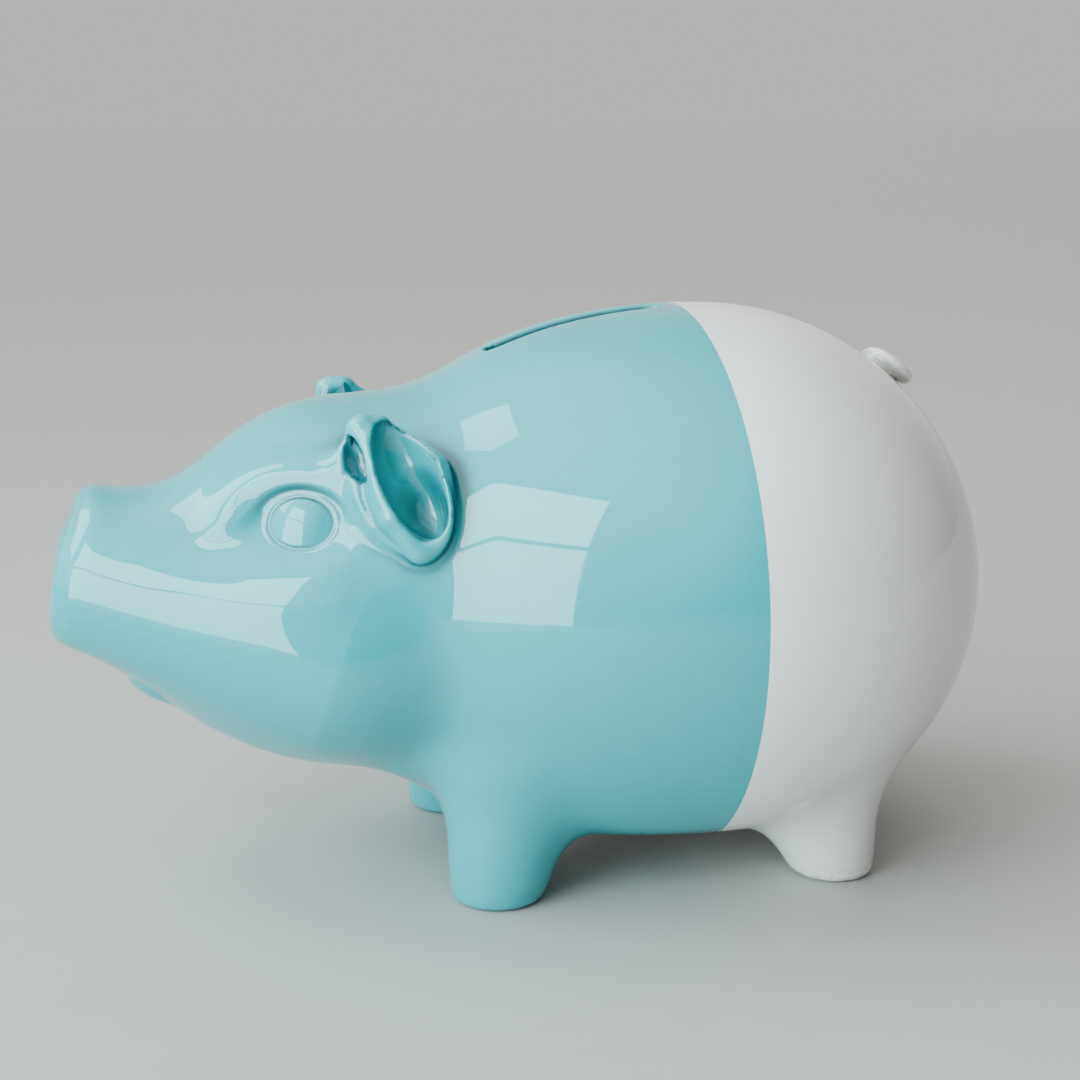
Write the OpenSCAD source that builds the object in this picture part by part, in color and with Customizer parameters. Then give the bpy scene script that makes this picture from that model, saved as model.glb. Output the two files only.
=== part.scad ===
// Piggy bank: a hollow glazed ceramic pig with a coin slot in its back,
// a round hole in its belly and a soft stopper that plugs the hole.
// The pig looks along -X, +Z is up and its left side is on -Y.
// Origin: on the ground, in the middle of the pig's length and width.

/* [Casting] */
// Wall thickness of the hollow casting
wall = 4; // [3:0.5:5]
// Where the front glaze stops and the white glaze starts, along the pig
glaze_x = 24.9; // [24:0.1:28]
// How softly the rounded forms melt into each other
melt = 9.35; // [6:0.05:12]
// Height of the flattened belly above the ground
belly_z = 6.5; // [5:0.1:8]

/* [Snout] */
// Radius of the snout
snout_r = 12.3; // [10:0.1:14]
// How far the snout disc leans back at the top
snout_tilt = 10.8; // [0:0.1:16]
// Thickness of the snout disc
snout_t = 3.4; // [3:0.1:4]
// Radius of a nostril
nostril_r = 2.1; // [1.2:0.1:2.6]
// Distance from the middle to each nostril
nostril_y = 4.7; // [3.5:0.1:6]

/* [Eyes] */
// Radius of an eye
eye_r = 5.2; // [4:0.1:6]
// How far the dome of an eye stands out
eye_h = 1.9; // [1:0.1:3]
// Depth of the pocket that an eye sits in
eye_seat = 1.6; // [1:0.1:2]

/* [Legs] */
// Radius of a foot on the ground
foot_r = 6.4; // [5:0.1:8]
// Front legs, along the pig
front_leg_x = -9.4; // [-14:0.1:-6]
// Front legs, from the middle
front_leg_y = 21.4; // [20:0.1:24]
// Rear legs, along the pig
rear_leg_x = 46.6; // [42:0.1:50]
// Rear legs, from the middle
rear_leg_y = 22.9; // [20:0.1:25]

/* [Coin slot] */
// Length of the coin slot
slot_l = 29; // [27:0.5:29]
// Width of the coin slot
slot_w = 4.6; // [4.4:0.1:5]
// Middle of the coin slot, along the pig
slot_x = 8; // [6:0.1:8]

/* [Belly hole and stopper] */
// Middle of the belly hole, along the pig
hole_x = 9; // [8:0.1:9.2]
// Radius of the belly hole
hole_r = 12.6; // [12.4:0.1:12.8]
// Radius of the recess round the hole
recess_r = 14.8; // [14.6:0.1:15]
// Height of the seat that the stopper's flange rests on
seat_z = 8.6; // [8.4:0.1:9]
// Running clearance between the stopper and the hole, on the radius
plug_gap = 0.06; // [0.02:0.01:0.1]
// Thickness of the stopper's flange
flange_t = 2.2; // [1.8:0.1:2.4]
// Length of the stopper's barrel above the seat
barrel_l = 7; // [5:0.5:9]

/* [Tail] */
// Radius of the curl of the tail
curl_r = 3.3; // [2.5:0.1:4]
// Thickness radius of the tail
tail_r = 1.9; // [1.5:0.1:2.2]
// How far the tail turns
curl_turn = 370; // [300:5:380]

/* [Hidden] */
turquoise = "#86cfcd";
white = "#f2f1ee";
rubber = "#d9d6cc";

// The rounded forms, each as [middle, half lengths]
rump = [[30, 0, 46.9], [45.2, 50.7, 44.4]];
chest = [[9.3, 0, 44.9], [41.8, 40.8, 43.2]];
neck = [[-28.8, 0, 48], [31.6, 28.8, 30.1]];
head = [[-34.1, 0, 42.3], [32.9, 17.2, 17.8]];
snout_at = [-73.9, 0, 53.6];
snout_axis = [cos(snout_tilt), 0, -sin(snout_tilt)];
snout_l = 34;

// Distance-like value of a point for one ellipsoid, negative inside
function egg(p, e) =
    let (q = [(p.x - e[0].x) / e[1].x, (p.y - e[0].y) / e[1].y, (p.z - e[0].z) / e[1].z],
        a = norm(q),
        b = norm([q.x / e[1].x, q.y / e[1].y, q.z / e[1].z]) + 1e-9)
    a * (a - 1) / b;

// Smooth smaller and smooth larger of two values
function soft_min(a, b, k) =
    let (h = min(1, max(0, 0.5 + 0.5 * (b - a) / k))) b + (a - b) * h - k * h * (1 - h);
function soft_max(a, b, k) = -soft_min(-a, -b, k);

// The snout: a round bar with a rounded front edge
function snout_f(p) =
    let (q = p - snout_at, s = q * snout_axis, r = norm(cross(q, snout_axis)))
    soft_max(soft_max(r - snout_r, -s, 4), s - snout_l, 4);

// The whole pig without legs, ears and tail
function pig_f(p) =
    let (a = soft_min(egg(p, rump), egg(p, chest), melt),
        b = soft_min(soft_min(a, egg(p, neck), melt), egg(p, head), melt))
    soft_max(soft_min(b, snout_f(p), melt), belly_z - p.z, 7);

// The hollow: the same form, one wall further in, and solid in the snout
function hollow_f(p) = soft_max(pig_f(p) + wall, -60 - p.x, 8);
function skin_f(p, hollow) = hollow ? hollow_f(p) : pig_f(p);

// Distance from o along d to the skin, by halving and by false position in turn
function reach(o, d, hollow, a = 0, b = 80, fa = -20, fb = 30, n = 11) =
    n == 0 ? a + (b - a) * fa / (fa - fb) :
    let (m = n % 2 == 0 ? (a + b) / 2 : a + (b - a) * min(0.97, max(0.03, fa / (fa - fb))),
        f = skin_f(o + d * m, hollow))
    f < 0 ? reach(o, d, hollow, m, b, f, fb, n - 1) : reach(o, d, hollow, a, m, fa, f, n - 1);

// Middle line that every ray of the skin starts from
function line_at(x) = [x, 0, lookup(x, [[-60, 50.6], [-30, 50], [0, 49], [50, 47]])];

sides = 48;
nose_x = -58;
tail_x = 50;

// One ring of the skin: rays from o, turned by a from straight back (0) to straight ahead (180)
function ring(x, a, hollow) =
    let (o = line_at(x),
        half = [for (i = [0 : sides / 2])
            let (t = 360 * i / sides, d = [cos(a), sin(a) * sin(t), sin(a) * cos(t)])
            o + d * reach(o, d, hollow)])
    concat(half, [for (i = [sides / 2 - 1 : -1 : 1]) [half[i].x, -half[i].y, half[i].z]]);

function pole(x, a, hollow) =
    let (o = line_at(x), d = [cos(a), 0, 0]) [o + d * reach(o, d, hollow)];

// Where the rings lie, from the nose or the tail end to the glaze edge
front_caps = [170, 160, 151, 143, 137, 131, 124, 115, 103];
front_rows = [for (i = [0 : 25]) nose_x + (glaze_x - nose_x) * i / 25];
inner_front_caps = [155, 130, 110];
inner_front_rows = [for (i = [0 : 16]) -50 + (glaze_x + 50) * i / 16];
rear_caps = [10, 22, 34, 46, 58, 70, 81];
rear_rows = [for (i = [0 : 7]) tail_x + (glaze_x - tail_x) * i / 7];
inner_rear_caps = [16, 35, 54, 72];
inner_rear_rows = [for (i = [0 : 5]) tail_x + (glaze_x - tail_x) * i / 5];

function rings(x0, caps, rows, hollow) = concat(
    [for (a = caps) ring(x0, a, hollow)], [for (x = rows) ring(x, 90, hollow)]);

// Faces between ring k and ring k + 1, when point 0 is the pole
function band(k, n, base) = [for (i = [0 : n - 1])
    let (j = (i + 1) % n, a = base + 1 + k * n, b = a + n)
    each [[a + i, a + j, b + j], [a + i, b + j, b + i]]];
function fan(n, base) = [for (i = [0 : n - 1]) [base, base + 1 + (i + 1) % n, base + 1 + i]];
function turned(faces, on) = on ? [for (f = faces) [f[2], f[1], f[0]]] : faces;

// A skin as [points, faces], from its pole to its open rim
function skin(x0, a0, caps, rows, hollow, base) =
    let (rs = rings(x0, caps, rows, hollow), m = len(rs))
    [concat(pole(x0, a0, hollow), [for (r = rs) each r]),
        concat(fan(sides, base), [for (k = [0 : m - 2]) each band(k, sides, base)]), m];

// The solid pig on one side of the glaze edge
module lump(x0, a0, caps, rows, flip) {
    s = skin(x0, a0, caps, rows, false, 0);
    n = len(s[0]);
    lid = [[for (i = [0 : sides - 1]) n - sides + i]];
    polyhedron(s[0], concat(turned(s[1], flip),
        flip ? lid : [[for (i = [sides - 1 : -1 : 0]) n - sides + i]]));
}

module front_lump() { lump(nose_x, 180, front_caps, front_rows, true); }
module rear_lump() { lump(tail_x, 0, rear_caps, rear_rows, false); }

// The hollow casting on one side of the glaze edge: outer skin, inner skin and a flat rim
module cup(x0, a0, caps, rows, inner_x0, inner_caps, inner_rows, flip) {
    s = skin(x0, a0, caps, rows, false, 0);
    n = len(s[0]);
    h = skin(inner_x0, a0, inner_caps, inner_rows, true, n);
    m = n + len(h[0]);
    rim = [for (i = [0 : sides - 1])
        let (j = (i + 1) % sides, a = n - sides, b = m - sides)
        each [[a + i, a + j, b + j], [a + i, b + j, b + i]]];
    polyhedron(concat(s[0], h[0]),
        concat(turned(s[1], flip), turned(h[1], !flip), turned(rim, flip)));
}

// A frame that stands on the skin: +Z points out of the skin at p
function slope(p) =
    let (e = 0.05, f = pig_f(p),
        g = [pig_f(p + [e, 0, 0]) - f, pig_f(p + [0, e, 0]) - f, pig_f(p + [0, 0, e]) - f])
    g / norm(g);
function onto(o, d) = o + d / norm(d) * reach(o, d / norm(d), false);
module stand(p) {
    n = slope(p);
    u = cross([0, 0, 1], n) / norm(cross([0, 0, 1], n));
    v = cross(n, u);
    multmatrix([[u.x, v.x, n.x, p.x], [u.y, v.y, n.y, p.y], [u.z, v.z, n.z, p.z], [0, 0, 0, 1]])
        children();
}
module both(side) { if (side > 0) mirror([0, 1, 0]) children(); else children(); }

// ---- Snout ----
module at_snout() {
    translate(snout_at) rotate([0, 90 + snout_tilt, 0]) children();
}

module snout_disc() {
    round_r = snout_t;
    color(turquoise) at_snout() difference() {
        rotate_extrude($fn = 96) polygon(concat([[0, snout_t], [0, 0]],
            [for (a = [0 : 15 : 90])
                [snout_r - round_r + round_r * sin(a), round_r - round_r * cos(a)]]));
        for (s = [-1, 1]) translate([0, s * nostril_y, -1])
            cylinder(r1 = nostril_r + 0.3, r2 = nostril_r - 0.3, h = 3.2, $fn = 48);
    }
}

// ---- Eyes ----
eye_p = onto([-38.6, 0, 50], [0, -23.2, 13.3]);
module eye_pocket() { stand(eye_p) translate([0, 0, -eye_seat]) cylinder(r = eye_r, h = 6, $fn = 64); }

module eye(side) {
    dome = (eye_r * eye_r + eye_h * eye_h) / (2 * eye_h);
    top = asin(eye_r / dome);
    color(turquoise) both(side) stand(eye_p) rotate_extrude($fn = 64)
        polygon(concat([[0, -eye_seat], [eye_r, -eye_seat]],
            [for (a = [top : -top / 8 : 0.01]) [dome * sin(a), eye_h - dome + dome * cos(a)]],
            [[0, eye_h]]));
}

// ---- Ears ----
module ear(side) {
    color(turquoise) both(side) difference() {
        hull() {
            translate([-28.4, -18.6, 76.2]) sphere(r = 1.9, $fn = 24);
            translate([-30.4, -20.6, 70]) sphere(r = 1.8, $fn = 24);
            translate([-22, -22.5, 69.5]) sphere(r = 5.2, $fn = 24);
            translate([-22.5, -26, 62]) sphere(r = 3.6, $fn = 24);
        }
        // The cup of the ear opens forwards
        translate([-33.6, -21.5, 69]) rotate([24, -14, 0]) cylinder(r = 2.9, h = 16, center = true, $fn = 48);
        front_lump();
    }
}

// ---- Lower lip ----
module lower_lip() {
    color(turquoise) difference() {
        hull() for (y = [-4.5, 4.5]) {
            translate([-64, y, 34.8]) sphere(r = 2.4, $fn = 24);
            translate([-57, y * 0.8, 30.2]) sphere(r = 2.2, $fn = 24);
        }
        front_lump();
    }
}

// ---- Legs ----
module leg_bar(x, y) {
    translate([x, y, 0]) rotate_extrude($fn = 64) polygon([[0, 0], [foot_r - 0.5, 0],
        [foot_r + 0.3, 0.35], [foot_r + 0.8, 1.1], [foot_r + 1.1, 2.4], [foot_r + 1.4, 5],
        [foot_r + 1.9, 7.6], [foot_r + 2.8, 10.2], [foot_r + 3.6, 13], [foot_r + 3.8, 17],
        [foot_r + 3.2, 22], [foot_r + 1, 26], [0, 27.5]]);
}

module front_leg(side) {
    color(turquoise) difference() {
        leg_bar(front_leg_x, side * front_leg_y);
        front_lump();
    }
}

module rear_leg(side) {
    color(white) difference() {
        leg_bar(rear_leg_x, side * rear_leg_y);
        rear_lump();
    }
}

// ---- Tail ----
tail_p = onto([50, 0, 60], [14, 0, 18]);

// A pipe with a tapering radius along a path, closed at both ends
module pipe(path, radii, n = 12) {
    m = len(path);
    function away(i) = let (d = path[min(i + 1, m - 1)] - path[max(i - 1, 0)]) d / norm(d);
    pts = [for (i = [0 : m - 1])
        let (t = away(i), s = cross([0.03, 0.02, 1], t), u = s / norm(s), v = cross(t, u))
        each [for (k = [0 : n - 1])
            path[i] + radii[i] * (cos(360 * k / n) * u + sin(360 * k / n) * v)]];
    sides_f = [for (i = [0 : m - 2], k = [0 : n - 1])
        let (j = (k + 1) % n, a = i * n, b = a + n)
        each [[a + k, b + j, a + j], [a + k, b + k, b + j]]];
    polyhedron(pts, concat([[for (k = [0 : n - 1]) k]],
        sides_f, [[for (k = [n - 1 : -1 : 0]) (m - 1) * n + k]]));
}

// The curl rises off the skin at its root, turns once and ends above its own start
module tail() {
    turns = 36;
    at = [for (i = [0 : turns]) i / turns];
    path = [for (t = at) let (a = -95 + curl_turn * t, r = curl_r * (1 - 0.2 * t))
        [r * cos(a), 3 + r * sin(a), 6.4 * pow(t, 0.7) - 2.6]];
    color(white) difference() {
        stand(tail_p) pipe(path, [for (t = at) tail_r * (1.1 - 0.4 * t) * (t < 0.97 ? 1 : 0.7)]);
        rear_lump();
    }
}

// ---- Hollow castings ----
module front_shell() {
    color(turquoise) difference() {
        cup(nose_x, 180, front_caps, front_rows, -50, inner_front_caps, inner_front_rows, true);
        // Flat seat of the snout disc
        at_snout() translate([0, 0, snout_t - 40]) cylinder(r = 40, h = 40, $fn = 64);
        // Coin slot with round ends
        translate([slot_x, 0, 78]) {
            translate([-(slot_l - slot_w) / 2, -slot_w / 2, 0]) cube([slot_l - slot_w, slot_w, 20]);
            for (s = [-1, 1]) translate([s * (slot_l - slot_w) / 2, 0, 0])
                cylinder(r = slot_w / 2, h = 20, $fn = 48);
        }
        // Belly hole and the recess for the stopper's flange
        translate([hole_x, 0, 0]) {
            cylinder(r = hole_r, h = 20, $fn = 96);
            cylinder(r = recess_r, h = seat_z, $fn = 96);
        }
        for (side = [-1, 1]) both(side) eye_pocket();
    }
}

module rear_shell() {
    color(white) cup(tail_x, 0, rear_caps, rear_rows, tail_x, inner_rear_caps, inner_rear_rows, false);
}

// ---- Stopper ----
module stopper() {
    r = hole_r - plug_gap;
    z = seat_z - 0.05;
    color(rubber) translate([hole_x, 0, 0]) difference() {
        rotate_extrude($fn = 96) polygon([[0, z - flange_t], [recess_r - 0.9, z - flange_t],
            [recess_r - 0.4, z - flange_t + 0.5], [recess_r - 0.4, z], [r - 0.5, z],
            [r - 0.5, z + 0.5], [r, z + 0.8], [r, z + 2.2], [r - 0.6, z + 2.5],
            [r - 0.6, z + 3.4], [r, z + 3.8], [r, z + 5], [r - 0.9, z + barrel_l],
            [r - 2.6, z + barrel_l], [r - 3, z + 2], [0, z + 2]]);
        // Finger hollow on each side of the grip bar
        for (s = [-1, 1]) translate([0, 0, z - flange_t - 1]) intersection() {
            cylinder(r = 8, h = 2.4, $fn = 64);
            translate([-8, s > 0 ? 1.3 : -9.3, 0]) cube([16, 8, 3]);
        }
    }
}

front_shell();
rear_shell();
snout_disc();
lower_lip();
ear(-1);  // left_ear
ear(1);  // right_ear
eye(-1);  // left_eye
eye(1);  // right_eye
front_leg(-1);  // front_left_leg
front_leg(1);  // front_right_leg
rear_leg(-1);  // rear_left_leg
rear_leg(1);  // rear_right_leg
tail();
stopper();
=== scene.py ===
"""Looks of a two-tone glazed ceramic piggy bank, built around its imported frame.

The pig is one smooth form: rounded eggs that melt into each other, with legs, cupped ears,
domed eyes and a curled tail growing out of it.  Form holds that form as a field of
distances, Skin turns the field into meshes, and the classes after them cut the skin into
the pottery's pieces, close each piece and dress it in its glaze.  Forms are worked out in
millimetres in the frame's axes, and meshes are made in metres.
"""

from __future__ import annotations

import logging
import math
from dataclasses import dataclass, field
from enum import Enum
from typing import Callable

import bpy
import numpy as np
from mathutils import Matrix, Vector

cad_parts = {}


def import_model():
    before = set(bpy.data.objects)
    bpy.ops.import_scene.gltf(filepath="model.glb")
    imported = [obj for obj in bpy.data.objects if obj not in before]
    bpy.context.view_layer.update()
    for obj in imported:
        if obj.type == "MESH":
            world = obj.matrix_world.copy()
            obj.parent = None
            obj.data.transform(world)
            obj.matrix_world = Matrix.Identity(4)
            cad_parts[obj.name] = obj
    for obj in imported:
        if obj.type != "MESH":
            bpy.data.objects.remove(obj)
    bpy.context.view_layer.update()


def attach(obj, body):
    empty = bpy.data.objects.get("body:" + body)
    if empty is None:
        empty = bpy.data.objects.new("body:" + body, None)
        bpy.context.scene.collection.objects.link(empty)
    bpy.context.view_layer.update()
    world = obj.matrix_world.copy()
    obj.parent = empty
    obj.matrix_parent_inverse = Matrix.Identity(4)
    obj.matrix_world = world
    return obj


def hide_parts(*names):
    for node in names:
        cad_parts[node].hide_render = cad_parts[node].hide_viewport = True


LOG = logging.getLogger("piggy_bank")
MM = 0.001
Array = np.ndarray
Field = Callable[[Array], Array]


class Side(Enum):
    """The two sides of the pig, as the sign of Y."""

    LEFT = -1
    RIGHT = 1


# --------------------------------------------------------------------------------------
# The form
# --------------------------------------------------------------------------------------


def soft_min(a: Array, b: Array, k: float) -> Array:
    """Smooth smaller of two fields.

    Args:
        a: First field.
        b: Second field.
        k: Width over which the two melt together, in millimetres.

    Returns:
        The melted field.
    """
    h = np.clip(0.5 + 0.5 * (b - a) / k, 0.0, 1.0)
    return b + (a - b) * h - k * h * (1.0 - h)


def soft_max(a: Array, b: Array, k: float) -> Array:
    """Smooth larger of two fields; see soft_min."""
    return -soft_min(-a, -b, k)


def fade(x: Array, start: Array | float, end: Array | float) -> Array:
    """A smooth step: 0 where x is at start, 1 where it is at end."""
    t = np.clip((x - start) / (end - start), 0.0, 1.0)
    return t * t * (3.0 - 2.0 * t)


def bell(x: Array) -> Array:
    """A smooth bump: 1 where x is 0, and 0 beyond 1 either way."""
    return fade(np.abs(x), 1.0, 0.0)


def unit(v: Array) -> Array:
    """The vector v at length one."""
    v = np.asarray(v, float)
    return v / np.linalg.norm(v)


@dataclass(frozen=True)
class Egg:
    """An ellipsoid, in the pig's axes or in a local frame's.

    Attributes:
        middle: Centre, in millimetres.
        half: Half lengths along the three axes, in millimetres.
    """

    middle: tuple[float, float, float]
    half: tuple[float, float, float]

    def depth(self, p: Array) -> Array:
        """Distance-like value at points p, negative inside.

        Args:
            p: Points, in millimetres.

        Returns:
            A distance-like value at each point, negative inside.
        """
        q = (p - np.array(self.middle)) / np.array(self.half)
        a = np.sqrt((q * q).sum(-1))
        q /= np.array(self.half)
        b = np.sqrt((q * q).sum(-1)) + 1e-9
        return a * (a - 1.0) / b


@dataclass(frozen=True)
class Local:
    """A frame that stands on the pig's skin.

    Attributes:
        at: Its origin, in millimetres.
        across: Its first axis.
        along: Its second axis.
        out: Its third axis, away from the skin.
    """

    at: Array
    across: Array
    along: Array
    out: Array

    def of(self, p: Array) -> Array:
        """Points p in this frame's coordinates."""
        return (p - self.at) @ np.stack([self.across, self.along, self.out], 1)

    def back(self, q: Array) -> Array:
        """Local points q in the pig's coordinates."""
        return self.at + q @ np.stack([self.across, self.along, self.out], 0)


def rod(p: Array, a: Array, b: Array, ra: float, rb: float) -> Array:
    """Distance to a tapering round rod between two points.

    Args:
        p: Points, in millimetres.
        a: Start of the rod.
        b: End of the rod.
        ra: Radius at the start.
        rb: Radius at the end.

    Returns:
        Distance at each point, negative inside.
    """
    a, b = np.asarray(a, float), np.asarray(b, float)
    d = b - a
    t = np.clip(((p - a) @ d) / (d @ d), 0.0, 1.0)
    q = p - a - t[..., None] * d
    return np.sqrt((q * q).sum(-1)) - (ra + (rb - ra) * t)


def chain(p: Array, knots: tuple[tuple[float, float, float, float], ...]) -> Array:
    """Distance to a bent rod.

    Args:
        p: Points, in millimetres.
        knots: The rod's knots, each a place and a radius.

    Returns:
        Distance at each point, negative inside.
    """
    f = None
    for a, b in zip(knots[:-1], knots[1:]):
        g = rod(p, a[:3], b[:3], a[3], b[3])
        f = g if f is None else soft_min(f, g, 0.6)
    return f


@dataclass
class Form:
    """The pig as one field: negative inside the clay and glaze, zero on the skin.

    Attributes:
        rump, chest, neck, head: The big rounded forms.
        melt: How softly those forms melt together.
        snout_at: Middle of the snout's flat end.
        snout_tilt: How far the snout's end leans back at the top, in degrees.
        snout_r: Radius of the snout.
        belly_z: Height of the flattened belly.
        glaze_x: Plane where the front glaze stops.
        wall: Thickness of the hollow casting.
        leg_x, leg_y, foot_r: Middle and radius of each foot, front then rear.
        leg_lean, leg_flare: How a leg leans towards the tail and widens on its way up.
        leg_top: Height at which a leg ends inside the body.
        slot_x, slot_l, slot_w: Middle, length and width of the coin slot.
        hole_x, hole_r, recess_r, seat_z: The belly hole, and the recess round it.
        lid, iris: Half sizes of the eye's lidded socket and of its dome's outline.
        ball_r: Radius that the eye's dome is a part of.
        tail_r, tail_thick: Radius of the tail's curl, and of the tail itself.
    """

    rump: Egg = Egg((30.0, 0.0, 46.9), (45.2, 50.7, 44.4))
    chest: Egg = Egg((9.3, 0.0, 44.9), (41.8, 40.8, 43.2))
    neck: Egg = Egg((-28.8, 0.0, 48.0), (31.6, 28.8, 30.1))
    head: Egg = Egg((-34.1, 0.0, 42.3), (32.9, 17.2, 17.8))
    melt: float = 9.35
    snout_at: tuple[float, float, float] = (-73.9, 0.0, 53.6)
    snout_tilt: float = 10.8
    snout_r: float = 12.3
    belly_z: float = 6.5
    glaze_x: float = 24.9
    wall: float = 4.0
    leg_x: tuple[float, float] = (-9.4, 46.6)
    leg_y: tuple[float, float] = (21.4, 22.9)
    foot_r: tuple[float, float] = (7.35, 6.7)
    leg_lean: tuple[float, float] = (0.16, -0.3)
    leg_flare: tuple[float, float] = (0.24, 0.34)
    leg_top: float = 26.0
    slot_x: float = 8.0
    slot_l: float = 29.0
    slot_w: float = 4.6
    hole_x: float = 9.0
    hole_r: float = 12.6
    recess_r: float = 14.8
    seat_z: float = 8.6
    lid: tuple[float, float] = (8.3, 5.9)
    iris: tuple[float, float] = (4.9, 3.8)
    ball_r: float = 10.5
    tail_r: float = 3.6
    tail_thick: float = 1.9
    eye: Local = field(init=False)
    ear: Local = field(init=False)
    tail: Local = field(init=False)

    def __post_init__(self) -> None:
        """Stands the frames of the eye, the ear and the tail on the skin (left side)."""
        self.eye = self.stand(self.onto((-38.6, 0.0, 50.0), (0.0, -23.2, 13.3)))
        long_way = unit((-0.312, 0.413, 0.857))
        out = unit((-0.378, -0.88, 0.287))
        out = unit(out - (out @ long_way) * long_way)
        self.ear = Local(np.array((-23.5, -24.5, 67.0)), np.cross(long_way, out), long_way, out)
        self.tail = self.stand(self.onto((50.0, 0.0, 60.0), (14.6, 0.0, 17.5)))

    # ---- big forms -------------------------------------------------------------------

    def snout(self, p: Array) -> Array:
        """Field of the snout, a round bar with a rounded front edge.

        Args:
            p: Points, in millimetres.

        Returns:
            The field at each point, negative inside.
        """
        t = math.radians(self.snout_tilt)
        axis = np.array((math.cos(t), 0.0, -math.sin(t)))
        q = p - np.array(self.snout_at)
        s = q @ axis
        w = np.maximum((q * q).sum(-1) - s * s - q[..., 1] ** 2, 0.0)
        widen = 1.0 + 0.62 * (1.0 - np.exp(-np.maximum(s, 0.0) / 15.0))
        r = np.sqrt(w + (q[..., 1] / widen) ** 2 + 1e-9)
        return soft_max(soft_max(r - self.snout_r, -s, 4.0), s - 34.0, 4.0)

    def snout_depth(self, p: Array) -> Array:
        """How far points lie behind the snout's flat end."""
        t = math.radians(self.snout_tilt)
        return (p - np.array(self.snout_at)) @ np.array((math.cos(t), 0.0, -math.sin(t)))

    def body(self, p: Array) -> Array:
        """Field of the pig without legs, ears, eyes and tail.

        Args:
            p: Points, in millimetres.

        Returns:
            The field at each point, negative inside.
        """
        f = soft_min(self.rump.depth(p), self.chest.depth(p), self.melt)
        f = soft_min(f, self.neck.depth(p), self.melt)
        f = soft_min(f, self.head.depth(p), self.melt)
        f = soft_min(f, self.snout(p), self.melt)
        side = p * np.array((1.0, 0.0, 1.0))
        side[..., 1] = np.abs(p[..., 1])
        side[..., 2] = 1.22 * (p[..., 2] - 41.0)
        jowl = rod(side, (-76.0, 1.8, 12.2), (-31.0, 13.0, -1.6), 8.6, 18.0)
        f = soft_min(f, soft_max(jowl, -self.snout_depth(p), 4.0), 6.0)
        flank = fade(side[..., 1], 5.0, 16.0)
        f = f + 1.8 * flank * bell(np.hypot((p[..., 0] + 42.0) / 23.0, (p[..., 2] - 60.0) / 10.0))
        return soft_max(f, self.belly_z - p[..., 2], 7.0)

    def hollow(self, p: Array) -> Array:
        """Field of the hollow inside the casting."""
        return soft_max(self.body(p) + self.wall, -60.0 - p[..., 0], 8.0)

    def onto(self, start: tuple[float, float, float], way: tuple[float, float, float]) -> Array:
        """The point of the body's skin on a ray.

        Args:
            start: Where the ray starts, inside the body, in millimetres.
            way: Its direction.

        Returns:
            The point, in millimetres.
        """
        o, d = np.array(start), unit(np.array(way))
        lo, hi = 0.0, 80.0
        for _ in range(40):
            mid = (lo + hi) / 2
            lo, hi = (mid, hi) if self.body((o + d * mid)[None])[0] < 0 else (lo, mid)
        return o + d * lo

    def stand(self, at: Array) -> Local:
        """A frame on the body's skin, with its second axis up the skin.

        Args:
            at: A point of the skin.

        Returns:
            The frame, with its third axis away from the skin.
        """
        n = slope(self.body, at[None])[0]
        u = unit(np.cross((0.0, 0.0, 1.0), n))
        return Local(at, u, np.cross(n, u), n)

    # ---- growing parts ---------------------------------------------------------------

    def leg(self, p: Array, rear: int) -> Array:
        """Field of a leg on the left side.

        Args:
            p: Points, in millimetres.
            rear: 0 for the front leg and 1 for the rear one.

        Returns:
            The field at each point, negative inside.
        """
        z = p[..., 2]
        lean = self.leg_lean[rear] * 12.0 * np.tanh(z / 12.0)
        x = p[..., 0] - self.leg_x[rear] - lean
        y = p[..., 1] + self.leg_y[rear]
        r = self.foot_r[rear] + self.leg_flare[rear] * 10.0 * np.tanh(z / 10.0)
        f = np.sqrt(x * x + y * y) - r
        f = soft_max(f, -z, 1.6)
        return soft_max(f, z - self.leg_top, 6.0)

    def ear_leaf(self, q: Array) -> Array:
        """Field of the ear's solid leaf, with its fold and its thin rim.

        Args:
            q: Points in the ear's frame.

        Returns:
            The field at each point, negative inside.
        """
        f = Egg((0.0, -1.2, -0.6), (6.8, 9.8, 4.4)).depth(q)
        flat = q * np.array((1.0, 1.0, 1.3))
        f = soft_min(f, rod(flat, (0.8, 1.5, -1.0), (-0.7, 9.6, 1.6), 6.4, 3.0), 1.5)
        f = soft_min(f, rod(q, (-2.6, 10.8, 2.2), (-5.8, 8.2, 0.6), 1.8, 1.6), 1.2)
        fold = ((-2.0, 10.9, 2.4, 2.0), (-1.8, 4.3, 3.2, 2.0), (-2.6, -3.4, 2.9, 2.2),
                (-1.4, -9.2, 1.4, 2.1))
        w, h = q[..., 0] + 0.5, q[..., 1] + 0.6
        round_it = (np.hypot(w / 6.0, h / 9.0) - 1.0) * 7.4
        rim = np.hypot(round_it, q[..., 2] - 2.2 - 0.09 * h) - 1.5 * fade(w, -5.5, 0.5)
        return soft_min(soft_min(f, chain(q, fold), 1.0), rim, 0.9)

    def ear_cup(self, q: Array) -> Array:
        """Field of the ear's hollow cup, which is deepest at the back.

        Args:
            q: Points in the ear's frame.

        Returns:
            The field at each point, negative inside.
        """
        t = math.radians(27.0)
        x, z = q[..., 0] - 2.1, q[..., 2] - 3.6
        turned = np.stack(
            [x * math.cos(t) - z * math.sin(t), q[..., 1], x * math.sin(t) + z * math.cos(t)], -1)
        f = Egg((0.0, 0.9, -0.2), (4.3, 9.4, 5.2)).depth(turned)
        return soft_min(f, Egg((1.8, -3.0, 0.6), (3.1, 5.6, 4.3)).depth(q), 1.5)

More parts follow.
